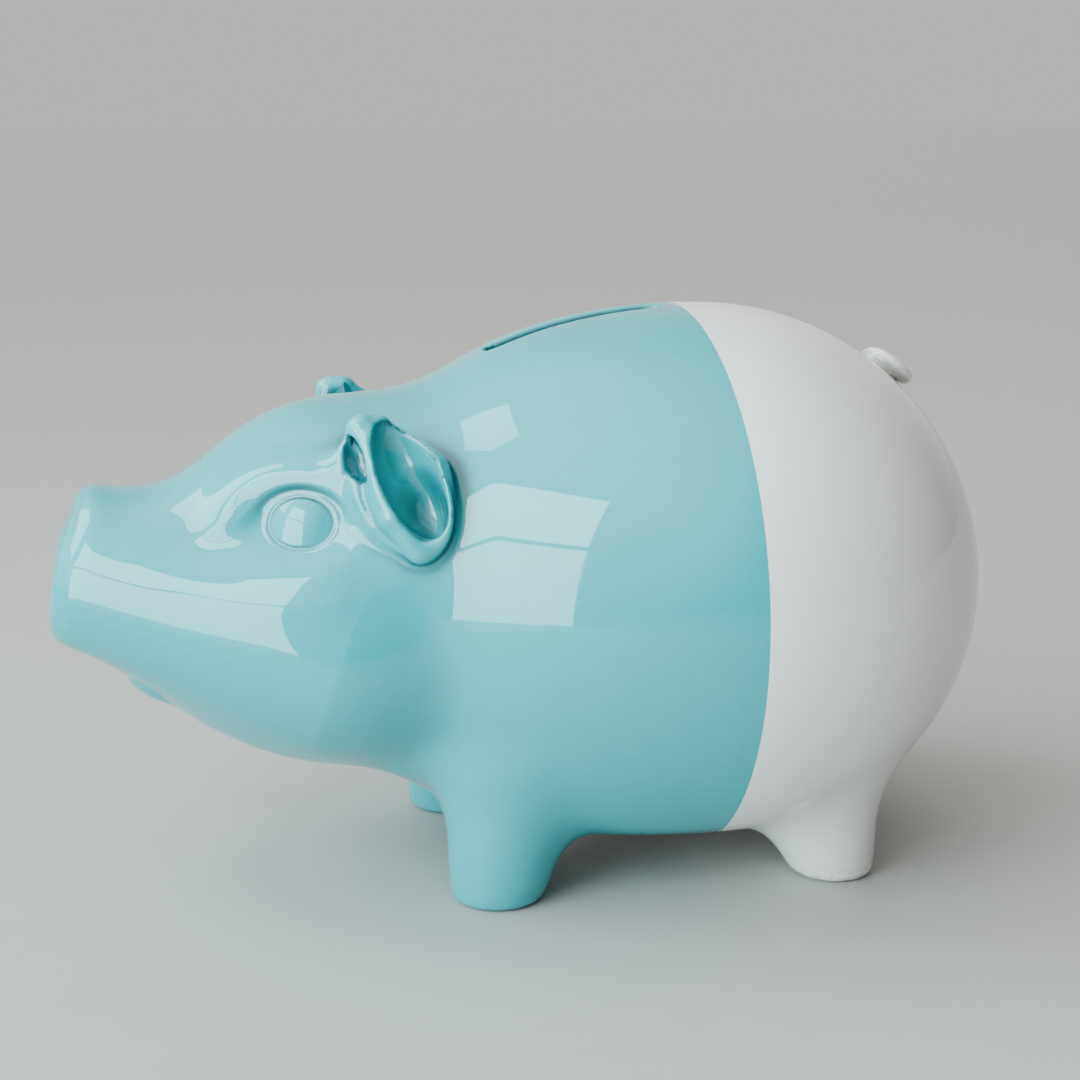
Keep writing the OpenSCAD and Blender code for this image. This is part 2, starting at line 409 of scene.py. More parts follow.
    def ear_fold(self, q: Array) -> Array:
        """Field of the small recess in front of the ear's fold, in the ear's frame.
        """
        return Egg((-4.5, 7.0, 2.7), (1.7, 3.5, 2.1)).depth(q)

    def curl(self, q: Array) -> Array:
        """Field of the curled tail.

        Args:
            q: Points in the tail's frame.

        Returns:
            The field at each point, negative inside.
        """
        t = np.linspace(0.0, 1.0, 34)
        a = np.radians(-95.0 + 370.0 * t)
        r = self.tail_r * (1.0 - 0.2 * t)
        path = np.stack([r * np.cos(a), 3.0 + r * np.sin(a), 5.4 * t**0.7 - 2.6], 1)
        thick = self.tail_thick * (1.1 - 0.4 * t)
        f = np.full(q.shape[:-1], 50.0)
        for i in range(len(t) - 1):
            f = np.minimum(f, rod(q, path[i], path[i + 1], thick[i], thick[i + 1]))
        return f

    def slot(self, p: Array) -> Array:
        """Field of the coin slot's opening, from the hollow up.

        Args:
            p: Points, in millimetres.

        Returns:
            The field at each point, negative inside.
        """
        x = np.abs(p[..., 0] - self.slot_x) - (self.slot_l - self.slot_w) / 2
        r = np.sqrt(np.maximum(x, 0.0) ** 2 + p[..., 1] ** 2) - self.slot_w / 2
        return np.maximum(r, 60.0 - p[..., 2])

    def hole(self, p: Array) -> Array:
        """Field of the belly hole and of the recess round it.

        Args:
            p: Points, in millimetres.

        Returns:
            The field at each point, negative inside.
        """
        x, y, z = p[..., 0] - self.hole_x, p[..., 1], p[..., 2]
        r = np.sqrt(x * x + y * y)
        through = np.maximum(r - self.hole_r, z - 20.0)
        recess = soft_max(r - self.recess_r, z - self.seat_z, 0.3)
        return np.minimum(through, recess)

    # ---- the whole skin --------------------------------------------------------------

    def _near(
        self, p: Array, f: Array, at: Array, reach: float, change: Callable[[Array, Array], Array]
    ) -> None:
        """Changes a field in place, near a spot only.

        Args:
            p: Points, in millimetres.
            f: The field there, which is changed.
            at: Middle of the spot.
            reach: Half side of the cube round it, in millimetres.
            change: Gives the new field from points and the old one.
        """
        d = np.abs(p - at).max(-1) < reach
        if d.any():
            f[d] = change(p[d], f[d])

    def skin(self, p: Array) -> Array:
        """Field of the whole glazed pig, both sides alike but for the tail.

        Args:
            p: Points, in millimetres, as an N by 3 array.

        Returns:
            The field at each point, negative inside.
        """
        f = self.body(p)
        q = p.copy()
        q[:, 1] = -np.abs(q[:, 1])
        for rear in (0, 1):
            at = np.array((self.leg_x[rear], -self.leg_y[rear], 12.0))
            self._near(
                q, f, at, 22.0, lambda a, g, n=rear: soft_min(g, self.leg(a, n), 6.5)
            )
        self._near(q, f, self.eye.at, 18.0, self._with_eye)
        self._near(q, f, self.ear.at, 19.0, self._with_ear)
        self._near(q, f, np.array((-62.0, 0.0, 34.0)), 16.0, self._with_lip)
        self._near(q, f, np.array(self.snout_at), 13.0, self._with_nostrils)
        self._near(
            p, f, self.tail.at, 16.0, lambda a, g: soft_min(g, self.curl(self.tail.of(a)), 1.0)
        )
        top = np.array((self.slot_x, 0.0, 90.0))
        self._near(p, f, top, 20.0, lambda a, g: soft_max(g, -self.slot(a), 1.3))
        low = np.array((self.hole_x, 0.0, 10.0))
        self._near(p, f, low, 18.0, lambda a, g: soft_max(g, -self.hole(a), 0.7))
        return f

    def _with_eye(self, p: Array, f: Array) -> Array:
        """Adds a brow, a hollow, a lidded socket and a domed eye.

        Args:
            p: Points, in millimetres.
            f: The field there without it.

        Returns:
            The new field.
        """
        q = self.eye.of(p)
        u, v = q[:, 0] + 0.7, q[:, 1] + 0.2
        height = f.copy()
        lid = np.hypot(u / self.lid[0], v / self.lid[1])
        high = fade(v, -2.5, 2.5)
        brow = bell((lid - 1.45) / 0.8) * fade(v - 0.25 * u, -2.0, 3.0)
        f = f - 1.1 * brow
        f = f + 0.5 * bell(np.hypot((u + 1.0) / 14.0, (v + 1.0) / 8.5))
        f = f + 0.7 * fade(lid, 1.3 - 0.28 * high, 0.45 + 0.37 * high)
        ring = np.hypot(u / self.iris[0], v / self.iris[1])
        f = f - 0.1 * bell((ring - 1.15) / 0.15)
        dome = Egg((0.0, 0.0, 0.1 - self.ball_r), (self.ball_r,) * 3)
        ball = dome.depth(np.stack([u, v, height], 1))
        f = soft_min(f, soft_max(ball, (ring - 1.0) * 4.0, 0.5), 0.5)
        return f + 0.03 * bell((ring - 1.04) / 0.12)

    def _with_ear(self, p: Array, f: Array) -> Array:
        """Adds an ear's leaf, melted into the head, with its cup and fold.

        Args:
            p: Points, in millimetres.
            f: The field there without it.

        Returns:
            The new field.
        """
        q = self.ear.of(p)
        melt = 1.3 + 3.6 * fade(q[:, 1], -11.0, -1.0) * fade(q[:, 0], 2.0, -3.0)
        f = soft_min(f, self.ear_leaf(q), melt)
        f = soft_max(f, -self.ear_cup(q), 1.4)
        return soft_max(f, -self.ear_fold(q), 1.1)

    def _with_lip(self, p: Array, f: Array) -> Array:
        """Adds the lower lip, a small tongue of clay under the snout.

        Args:
            p: Points, in millimetres.
            f: The field there without it.

        Returns:
            The new field.
        """
        t = math.radians(35.0)
        at = np.array((-61.2, 0.0, 33.3))
        q = p - at
        u = q[:, 0] * math.cos(t) - q[:, 2] * math.sin(t)
        w = q[:, 0] * math.sin(t) + q[:, 2] * math.cos(t)
        lip = Egg((0.0, 0.0, 0.0), (6.0, 7.0, 2.6)).depth(np.stack([u, q[:, 1], w], 1))
        lip = soft_max(lip, -4.0 - u, 1.0)
        return soft_min(f, lip, 1.0)

    def _with_nostrils(self, p: Array, f: Array) -> Array:
        """Adds two shallow nostrils to the snout's end.

        Args:
            p: Points, in millimetres.
            f: The field there without it.

        Returns:
            The new field.
        """
        t = math.radians(self.snout_tilt)
        s = self.snout_depth(p)
        up = (p - np.array(self.snout_at)) @ np.array((math.sin(t), 0.0, math.cos(t)))
        n = Egg((0.0, -4.6, 0.6), (2.6, 2.0, 3.0)).depth(np.stack([s, p[:, 1], up], 1))
        return soft_max(f, -n, 1.0)


def slope(f: Field, p: Array, step: float = 0.02) -> Array:
    """Direction of steepest rise of a field.

    Args:
        f: The field.
        p: Points, in millimetres.
        step: Half the distance of the central differences.

    Returns:
        A unit vector at each point.
    """
    g = np.empty_like(p)
    for i in range(3):
        d = np.zeros(3)
        d[i] = step
        g[:, i] = f(p + d) - f(p - d)
    n = np.linalg.norm(g, axis=1, keepdims=True)
    return g / np.maximum(n, 1e-12)


def mark(f: Field, p: Array, n: Array, reach: float = 0.9) -> Array:
    """How a field's skin bends at points on it, and how deep they lie in hollows.

    Args:
        f: The field.
        p: Points on its zero level.
        n: Normals there.
        reach: Distance over which the bend is felt, in millimetres.

    Returns:
        An N by 2 array: the bend per millimetre, and the depth from 0 to 1.
    """
    total = -6.0 * f(p)
    for i in range(3):
        d = np.zeros(3)
        d[i] = reach
        total += f(p + d) + f(p - d)
    # This depth becomes the hollow attribute, which sets the glaze's painted shade in hollows.
    deep = sum((1.0 - f(p + n * h) / h) / 3.0 for h in (2.0, 4.0, 7.0))
    return np.stack([np.clip(total / reach**2 / 2.0, -2.0, 2.0), np.clip(deep, 0.0, 1.0)], 1)


# --------------------------------------------------------------------------------------
# From the field to meshes
# --------------------------------------------------------------------------------------


@dataclass
class Skin:
    """A triangle mesh with its exact normals.

    Attributes:
        points: N by 3 points, in millimetres.
        faces: M by 3 indices, turned outward.
        normals: N by 3 unit normals.
        marks: N by 2: how the skin bends at each point, above 0 over an edge and below 0 in
            a crease, and how deep the point lies in a hollow, from 0 to 1.
    """

    points: Array
    faces: Array
    normals: Array
    marks: Array

    def drop_unused(self) -> "Skin":
        """Leaves out the points that no face uses.

        Returns:
            The mesh with only the points in use.
        """
        used = np.zeros(len(self.points), bool)
        used[self.faces] = True
        index = np.cumsum(used) - 1
        return Skin(self.points[used], index[self.faces], self.normals[used], self.marks[used])

    def split(self, s: Array) -> tuple["Skin", "Skin"]:
        """Cuts the mesh along the line where a value crosses zero.

        Args:
            s: The value at each point.

        Returns:
            The part where the value is negative, and the rest.
        """
        s = np.where(np.abs(s) < 1e-4, 1e-4, s)
        inside = s < 0
        f = self.faces
        count = inside[f].sum(1)
        keep = [f[count == 3]]
        rest = [f[count == 0]]
        points, normals, marks = [self.points], [self.normals], [self.marks]
        mixed = f[(count == 1) | (count == 2)]
        if len(mixed):
            odd = inside[mixed].sum(1) == 1
            lone = (inside[mixed] == odd[:, None]).argmax(1)
            order = (lone[:, None] + np.arange(3)) % 3
            m = np.take_along_axis(mixed, order, 1)
            edges = np.concatenate([m[:, [0, 1]], m[:, [0, 2]]])
            low, high = edges.min(1), edges.max(1)
            key, back = np.unique(low.astype(np.int64) * len(s) + high, return_inverse=True)
            a, b = key // len(s), key % len(s)
            t = (s[a] / (s[a] - s[b]))[:, None]
            points.append(self.points[a] + t * (self.points[b] - self.points[a]))
            n = self.normals[a] + t * (self.normals[b] - self.normals[a])
            normals.append(n / np.linalg.norm(n, axis=1, keepdims=True))
            marks.append(self.marks[a] + t * (self.marks[b] - self.marks[a]))
            new = back.reshape(-1) + len(s)
            ab, ac = new[: len(m)], new[len(m):]
            tip = np.stack([m[:, 0], ab, ac], 1)
            q1 = np.stack([ab, m[:, 1], m[:, 2]], 1)
            q2 = np.stack([ab, m[:, 2], ac], 1)
            for side, mine in ((keep, odd), (rest, ~odd)):
                side.append(tip[mine])
                side.append(q1[~mine])
                side.append(q2[~mine])
        p, n, c = np.concatenate(points), np.concatenate(normals), np.concatenate(marks)
        return (
            Skin(p, np.concatenate(keep), n, c).drop_unused(),
            Skin(p, np.concatenate(rest), n, c).drop_unused(),
        )

    def rims(self) -> list[Array]:
        """Finds the open edges.

        Returns:
            Closed loops of point indices, each in its faces' order.
        """
        f = self.faces
        e = np.concatenate([f[:, [0, 1]], f[:, [1, 2]], f[:, [2, 0]]]).astype(np.int64)
        n = len(self.points)
        forward, backward = e[:, 0] * n + e[:, 1], e[:, 1] * n + e[:, 0]
        lone = e[~np.isin(forward, backward)]
        follow = {int(a): int(b) for a, b in lone}
        loops = []
        while follow:
            first = next(iter(follow))
            loop = [first]
            at = follow.pop(first)
            while at != first and at in follow:
                loop.append(at)
                at = follow.pop(at)
            if len(loop) > 2:
                loops.append(np.array(loop))
        return loops

    def rim_round(self, hub: Array, axis: Array) -> Array | None:
        """Finds the longest open edge that goes round a point and lies nearly flat.

        Args:
            hub: The point, in millimetres.
            axis: The axis that the edge goes round.

        Returns:
            The loop of point indices, or None where there is none.
        """
        near, flat = 8.0, 6.0
        found = [
            loop for loop in self.rims()
            if np.linalg.norm(self.points[loop].mean(0) - hub) < near
            and np.ptp(self.points[loop] @ axis) < flat
        ]
        return max(found, key=len, default=None)

    def joined(self, *others: "Skin") -> "Skin":
        """Puts this mesh and others together, with nothing welded.

        Args:
            others: The other meshes.

        Returns:
            One mesh.
        """
        every = (self, *others)
        first = np.cumsum([0] + [len(o.points) for o in every[:-1]])
        return Skin(
            np.concatenate([o.points for o in every]),
            np.concatenate([o.faces + k for o, k in zip(every, first)]),
            np.concatenate([o.normals for o in every]),
            np.concatenate([o.marks for o in every]),
        )

    def capped(self, sink: float, body: Field | None = None) -> "Skin":
        """This mesh with every open rim closed by a plug; see plug."""
        return self.joined(*(self.plug(loop, sink, body) for loop in self.rims()))

    def plug(self, loop: Array, sink: float, body: Field | None = None) -> "Skin":
        """Closes one open rim inside the clay.

        Args:
            loop: The rim, in its faces' order.
            sink: Depth of the plug's floor, in millimetres.
            body: Field whose skin the floor follows; without it the floor is one fan.

        Returns:
            The plug, as a mesh of its own.
        """
        ring = self.points[loop]
        mid = ring.mean(0)
        down = -unit(self.normals[loop].mean(0))
        levels = [ring]
        if body is not None:
            for t in (1.0, 0.8, 0.6, 0.4, 0.2):
                levels.append(pull(lambda q: body(q) + sink, mid + t * (ring - mid), 14))
            tip = pull(lambda q: body(q) + sink, mid[None], 14)
        else:
            tip = (mid + down * sink)[None]
        n = len(loop)
        i = np.arange(n)
        j = (i + 1) % n
        faces = []
        for k in range(len(levels) - 1):
            a, b = k * n, (k + 1) * n
            faces += [np.stack([a + j, a + i, b + i], 1), np.stack([a + j, b + i, b + j], 1)]
        last = (len(levels) - 1) * n
        faces.append(np.stack([last + j, last + i, np.full(n, len(levels) * n)], 1))
        points = np.concatenate([*levels, tip])
        up = np.tile(-down, (len(points), 1))
        return Skin(points, np.concatenate(faces), up, np.zeros((len(points), 2)))


def bridge(a: Skin, b: Skin, loop_a: Array, loop_b: Array, hub: Array, axis: Array) -> Skin:
    """A strip of triangles between an open rim of one mesh and one of another.

    Args:
        a: First mesh.
        b: Second mesh.
        loop_a: Rim of the first mesh, in its faces' order.
        loop_b: Rim of the second mesh, in its faces' order.
        hub: A point that both rims go round.
        axis: The axis that both rims go round.

    Returns:
        The strip, as a mesh of its own.
    """
    u = unit(np.cross(axis, (0.31, 0.87, 0.22)))
    v = np.cross(unit(axis), u)

    def turns(ring: Array) -> Array:
        q = ring - hub
        return np.arctan2(q @ v, q @ u)

    pa, pb = a.points[loop_a], b.points[loop_b][::-1]
    ta = np.unwrap(turns(pa))
    if ta[-1] < ta[0]:
        pa, pb = pa[::-1], pb[::-1]
        flip = True
    else:
        flip = False
    pa = np.roll(pa, -int(turns(pa).argmin()), 0)
    pb = np.roll(pb, -int(turns(pb).argmin()), 0)
    ta, tb = np.sort(turns(pa)), np.sort(turns(pb))
    na, nb = len(pa), len(pb)
    faces, i, j = [], 0, 0
    while i < na or j < nb:
        next_a = ta[i + 1] if i + 1 < na else ta[0] + 2 * math.pi if i < na else 99.0
        next_b = tb[j + 1] if j + 1 < nb else tb[0] + 2 * math.pi if j < nb else 99.0
        x, y = i % na, na + j % nb
        if (next_a <= next_b and i < na) or j >= nb:
            faces.append((x, y, (i + 1) % na))
            i += 1
        else:
            faces.append((x, y, na + (j + 1) % nb))
            j += 1
    f = np.array(faces)
    p = np.concatenate([pa, pb])
    if flip:
        f = f[:, ::-1]
    g = np.cross(p[f[:, 1]] - p[f[:, 0]], p[f[:, 2]] - p[f[:, 0]])
    n = np.zeros_like(p)
    for c in range(3):
        np.add.at(n, f[:, c], g)
    n /= np.maximum(np.linalg.norm(n, axis=1, keepdims=True), 1e-12)
    return Skin(p, f, n, np.zeros((len(p), 2)))


@dataclass(frozen=True)
class Mesher:
    """Turns a field into a smooth triangle mesh on an uneven grid.

    Attributes:
        xs, ys, zs: Grid lines along each axis, in millimetres.
        rounds: How often the points are evened out along the skin.
    """

    xs: Array
    ys: Array
    zs: Array
    rounds: int = 3

    def _values(self, f: Field) -> Array:
        """The field at every grid point.

        Args:
            f: The field.

        Returns:
            An array with one value for each crossing of the grid lines.
        """
        shape = (len(self.xs), len(self.ys), len(self.zs))
        out = np.empty(shape)
        yy, zz = np.meshgrid(self.ys, self.zs, indexing="ij")
        step = 24
        for i in range(0, shape[0], step):
            xs = self.xs[i: i + step]
            p = np.empty((len(xs),) + yy.shape + (3,))
            p[..., 0] = xs[:, None, None]
            p[..., 1], p[..., 2] = yy, zz
            out[i: i + step] = f(p.reshape(-1, 3)).reshape(p.shape[:3])
        return out

    def mesh(self, f: Field) -> Skin:
        """Meshes the field's zero level.

        Args:
            f: The field, negative inside.

        Returns:
            The closed mesh with exact normals.
        """
        v = self._values(f)
        inside = v < 0
        nx, ny, nz = v.shape
        corner = inside[:-1, :-1, :-1].astype(np.int8)
        total = np.zeros_like(corner)
        for i, j, k in np.ndindex(2, 2, 2):
            total += inside[i: nx - 1 + i, j: ny - 1 + j, k: nz - 1 + k]
        live = (total > 0) & (total < 8)
        ci, cj, ck = np.nonzero(live)
        ids = np.full(live.shape, -1, np.int64)
        ids[ci, cj, ck] = np.arange(len(ci))
        grid = (self.xs, self.ys, self.zs)
        summed, hits = np.zeros((len(ci), 3)), np.zeros(len(ci))
        for axis in range(3):
            others = [x for x in range(3) if x != axis]
            for s, t in np.ndindex(2, 2):
                at = [ci.copy(), cj.copy(), ck.copy()]
                at[others[0]] += s
                at[others[1]] += t
                end = [a.copy() for a in at]
                end[axis] += 1
                va, vb = v[tuple(at)], v[tuple(end)]
                cross = (va < 0) != (vb < 0)
                w = np.where(cross, va / np.where(cross, va - vb, 1.0), 0.0)
                p = np.stack([grid[x][at[x]] for x in range(3)], 1)
                p[:, axis] += w * (grid[axis][end[axis]] - grid[axis][at[axis]])
                summed += np.where(cross[:, None], p, 0.0)
                hits += cross
        points = summed / hits[:, None]
        quads = []
        for axis in range(3):
            b, c = (axis + 1) % 3, (axis + 2) % 3
            lo, hi = [slice(None)] * 3, [slice(None)] * 3
            lo[axis], hi[axis] = slice(0, -1), slice(1, None)
            for x in (b, c):
                lo[x] = hi[x] = slice(1, -1)
            first, last = inside[tuple(lo)], inside[tuple(hi)]
            for mask, turned in ((first & ~last, False), (~first & last, True)):
                idx = np.array(np.nonzero(mask))
                idx[b] += 1
                idx[c] += 1
                ring = []
                for db, dc in ((1, 1), (0, 1), (0, 0), (1, 0)):
                    at = [idx[0].copy(), idx[1].copy(), idx[2].copy()]
                    at[b] -= db
                    at[c] -= dc
                    ring.append(ids[tuple(at)])
                q = np.stack(ring, 1)
                quads.append(q[:, ::-1] if turned else q)
        quad = np.concatenate(quads)
        points = self._settle(f, points, quad)
        d1 = np.linalg.norm(points[quad[:, 0]] - points[quad[:, 2]], axis=1)
        d2 = np.linalg.norm(points[quad[:, 1]] - points[quad[:, 3]], axis=1)
        one = np.concatenate([quad[:, [0, 1, 2]], quad[:, [0, 2, 3]]], 1).reshape(-1, 3)
        two = np.concatenate([quad[:, [0, 1, 3]], quad[:, [1, 2, 3]]], 1).reshape(-1, 3)
        pick = np.repeat(d1 <= d2, 2)
        faces = np.where(pick[:, None], one, two)
        normals = slope(f, points)
        return Skin(points, faces, normals, mark(f, points, normals))

    def _settle(self, f: Field, p: Array, quad: Array) -> Array:
        """Puts points on the skin and evens them out along it.

        Args:
            f: The field.
            p: Points near its skin.
            quad: Indices of the quads between them.

        Returns:
            The moved points.
        """
        p = pull(f, p, 3)
        pairs = np.concatenate([quad[:, [i, (i + 1) % 4]] for i in range(4)])
        for _ in range(self.rounds):
            total, n = np.zeros_like(p), np.zeros(len(p))
            for c in range(3):
                total[:, c] = np.bincount(pairs[:, 0], p[pairs[:, 1], c], len(p))
                total[:, c] += np.bincount(pairs[:, 1], p[pairs[:, 0], c], len(p))
            n = np.bincount(pairs.reshape(-1), minlength=len(p)).astype(float)
            move = total / n[:, None] - p
            g = slope(f, p)
            move -= (move * g).sum(1, keepdims=True) * g
            p = pull(f, p + 0.55 * move, 1)
        return pull(f, p, 2)


def pull(f: Field, p: Array, times: int) -> Array:
    """Moves points along a field's slope onto its zero level, a little at a time.

    Args:
        f: The field.
        p: Points, in millimetres.
        times: Number of steps.

    Returns:
        The moved points.
    """
    for _ in range(times):
        g = np.empty_like(p)
        for i in range(3):
            d = np.zeros(3)
            d[i] = 0.02
            g[:, i] = (f(p + d) - f(p - d)) / 0.04
        step = f(p) / np.maximum((g * g).sum(1), 0.2)
        p = p - np.clip(step, -0.6, 0.6)[:, None] * g
    return p


def uneven(parts: list[tuple[float, float, float]]) -> Array:
    """Grid lines made of stretches.

    Args:
        parts: The stretches, each its start, end and spacing.

    Returns:
        The places of the lines, in millimetres.
    """
    lines = [np.arange(a, b - 1e-6, s) for a, b, s in parts]
    return np.concatenate(lines + [np.array([parts[-1][1]])])


def make_object(name: str, skin: Skin, finish: list[bpy.types.Material]) -> bpy.types.Object:
    """Makes a Blender object from a mesh in millimetres.

    Args:
        name: Name of the object.
        skin: Its mesh.
        finish: Its materials; the first covers every face.

    Returns:
        The object, at the origin, in metres, with the mesh's exact normals.
    """
    mesh = bpy.data.meshes.new(name)
    mesh.vertices.add(len(skin.points))
    mesh.vertices.foreach_set("co", (skin.points * MM).astype(np.float32).reshape(-1))
    mesh.loops.add(len(skin.faces) * 3)
    mesh.loops.foreach_set("vertex_index", skin.faces.astype(np.int32).reshape(-1))
    mesh.polygons.add(len(skin.faces))
    mesh.polygons.foreach_set("loop_start", np.arange(0, len(skin.faces) * 3, 3, dtype=np.int32))
    mesh.polygons.foreach_set("use_smooth", np.ones(len(skin.faces), bool))
    mesh.update(calc_edges=True)
    mesh.normals_split_custom_set_from_vertices(skin.normals.astype(np.float32))
    # The hollow mark drives the glaze's painted shade in deep hollows.
    for column, mark_name in enumerate(("bend", "hollow")):
        values = mesh.attributes.new(mark_name, "FLOAT", "POINT").data
        values.foreach_set("value", skin.marks[:, column].astype(np.float32))
    for m in finish:
        mesh.materials.append(m)
    obj = bpy.data.objects.new(name, mesh)
    bpy.context.scene.collection.objects.link(obj)
    return obj


# --------------------------------------------------------------------------------------
# Finishes
# --------------------------------------------------------------------------------------


class Nodes:
    """Small helper that adds and links shader or group nodes in one tree.

    Attributes:
        tree: The node tree that the nodes go into.
    """

    def __init__(self, tree: bpy.types.NodeTree) -> None:
        """Keeps the tree."""
        self.tree = tree

    def add(self, kind: str, **inputs: object) -> bpy.types.Node:
        """Adds a node and sets or links its inputs by name.

        Args:
            kind: Type of the node without its ShaderNode prefix.
            inputs: Values or output sockets, keyed by input name with _ for a space.

        Returns:
            The node.
        """
        node = self.tree.nodes.new("ShaderNode" + kind)
        for key, value in inputs.items():
            self.set(node.inputs[key.replace("_", " ")], value)
        return node

    def set(self, socket: bpy.types.NodeSocket, value: object) -> None:
        """Links an output socket to an input, or sets its constant value.

        Args:
            socket: The input socket.
            value: An output socket or a constant.
        """
        if isinstance(value, bpy.types.NodeSocket):
            self.tree.links.new(value, socket)
        else:
            socket.default_value = value

    def math(self, kind: str, a: object, b: object = 0.0, c: object = 0.0) -> object:
        """Adds one arithmetic step on values.

        Args:
            kind: The operation.
            a: First value or socket.
            b: Second value or socket.
            c: Third value or socket.

        Returns:
            The output socket.
        """
        node = self.tree.nodes.new("ShaderNodeMath")
        node.operation = kind
        for socket, value in zip(node.inputs, (a, b, c)):
            self.set(socket, value)
        return node.outputs[0]

    def band(self, value: object, low: float, high: float) -> object:
        """Adds a smooth step from 0 to 1.

        Args:
            value: The value or socket that it steps on.
            low: Where it starts.
            high: Where it ends.

        Returns:
            The output socket.
        """
        node = self.tree.nodes.new("ShaderNodeMapRange")
        node.interpolation_type = "SMOOTHSTEP"
        self.set(node.inputs["Value"], value)
        self.set(node.inputs["From Min"], low)
        self.set(node.inputs["From Max"], high)
        return node.outputs["Result"]

    def mix(self, amount: object, a: object, b: object, blend: str = "MIX") -> object:
        """Mixes two colours.

        Args:
            amount: Share of the second colour.
            a: First colour.
            b: Second colour.
            blend: How they are mixed.

        Returns:
            The output socket.
        """
        node = self.tree.nodes.new("ShaderNodeMix")
        node.data_type, node.blend_type = "RGBA", blend
        self.set(node.inputs["Factor"], amount)
        self.set(node.inputs["A"], a)
        self.set(node.inputs["B"], b)
        return node.outputs["Result"]

    def noise(self, where: object, scale: float, detail: float = 2.0) -> object:
        """Adds soft noise.

        Args:
            where: Socket of the places.
            scale: Scale per metre.
            detail: Levels of finer noise.

        Returns:
            The output socket of its value.
        """
        node = self.add("TexNoise", Vector=where, Scale=scale, Detail=detail, Roughness=0.5)
        return node.outputs["Fac"]


def rgba(colour: tuple[float, float, float]) -> tuple[float, float, float, float]:
    """A colour with full alpha."""
    return (*colour, 1.0)


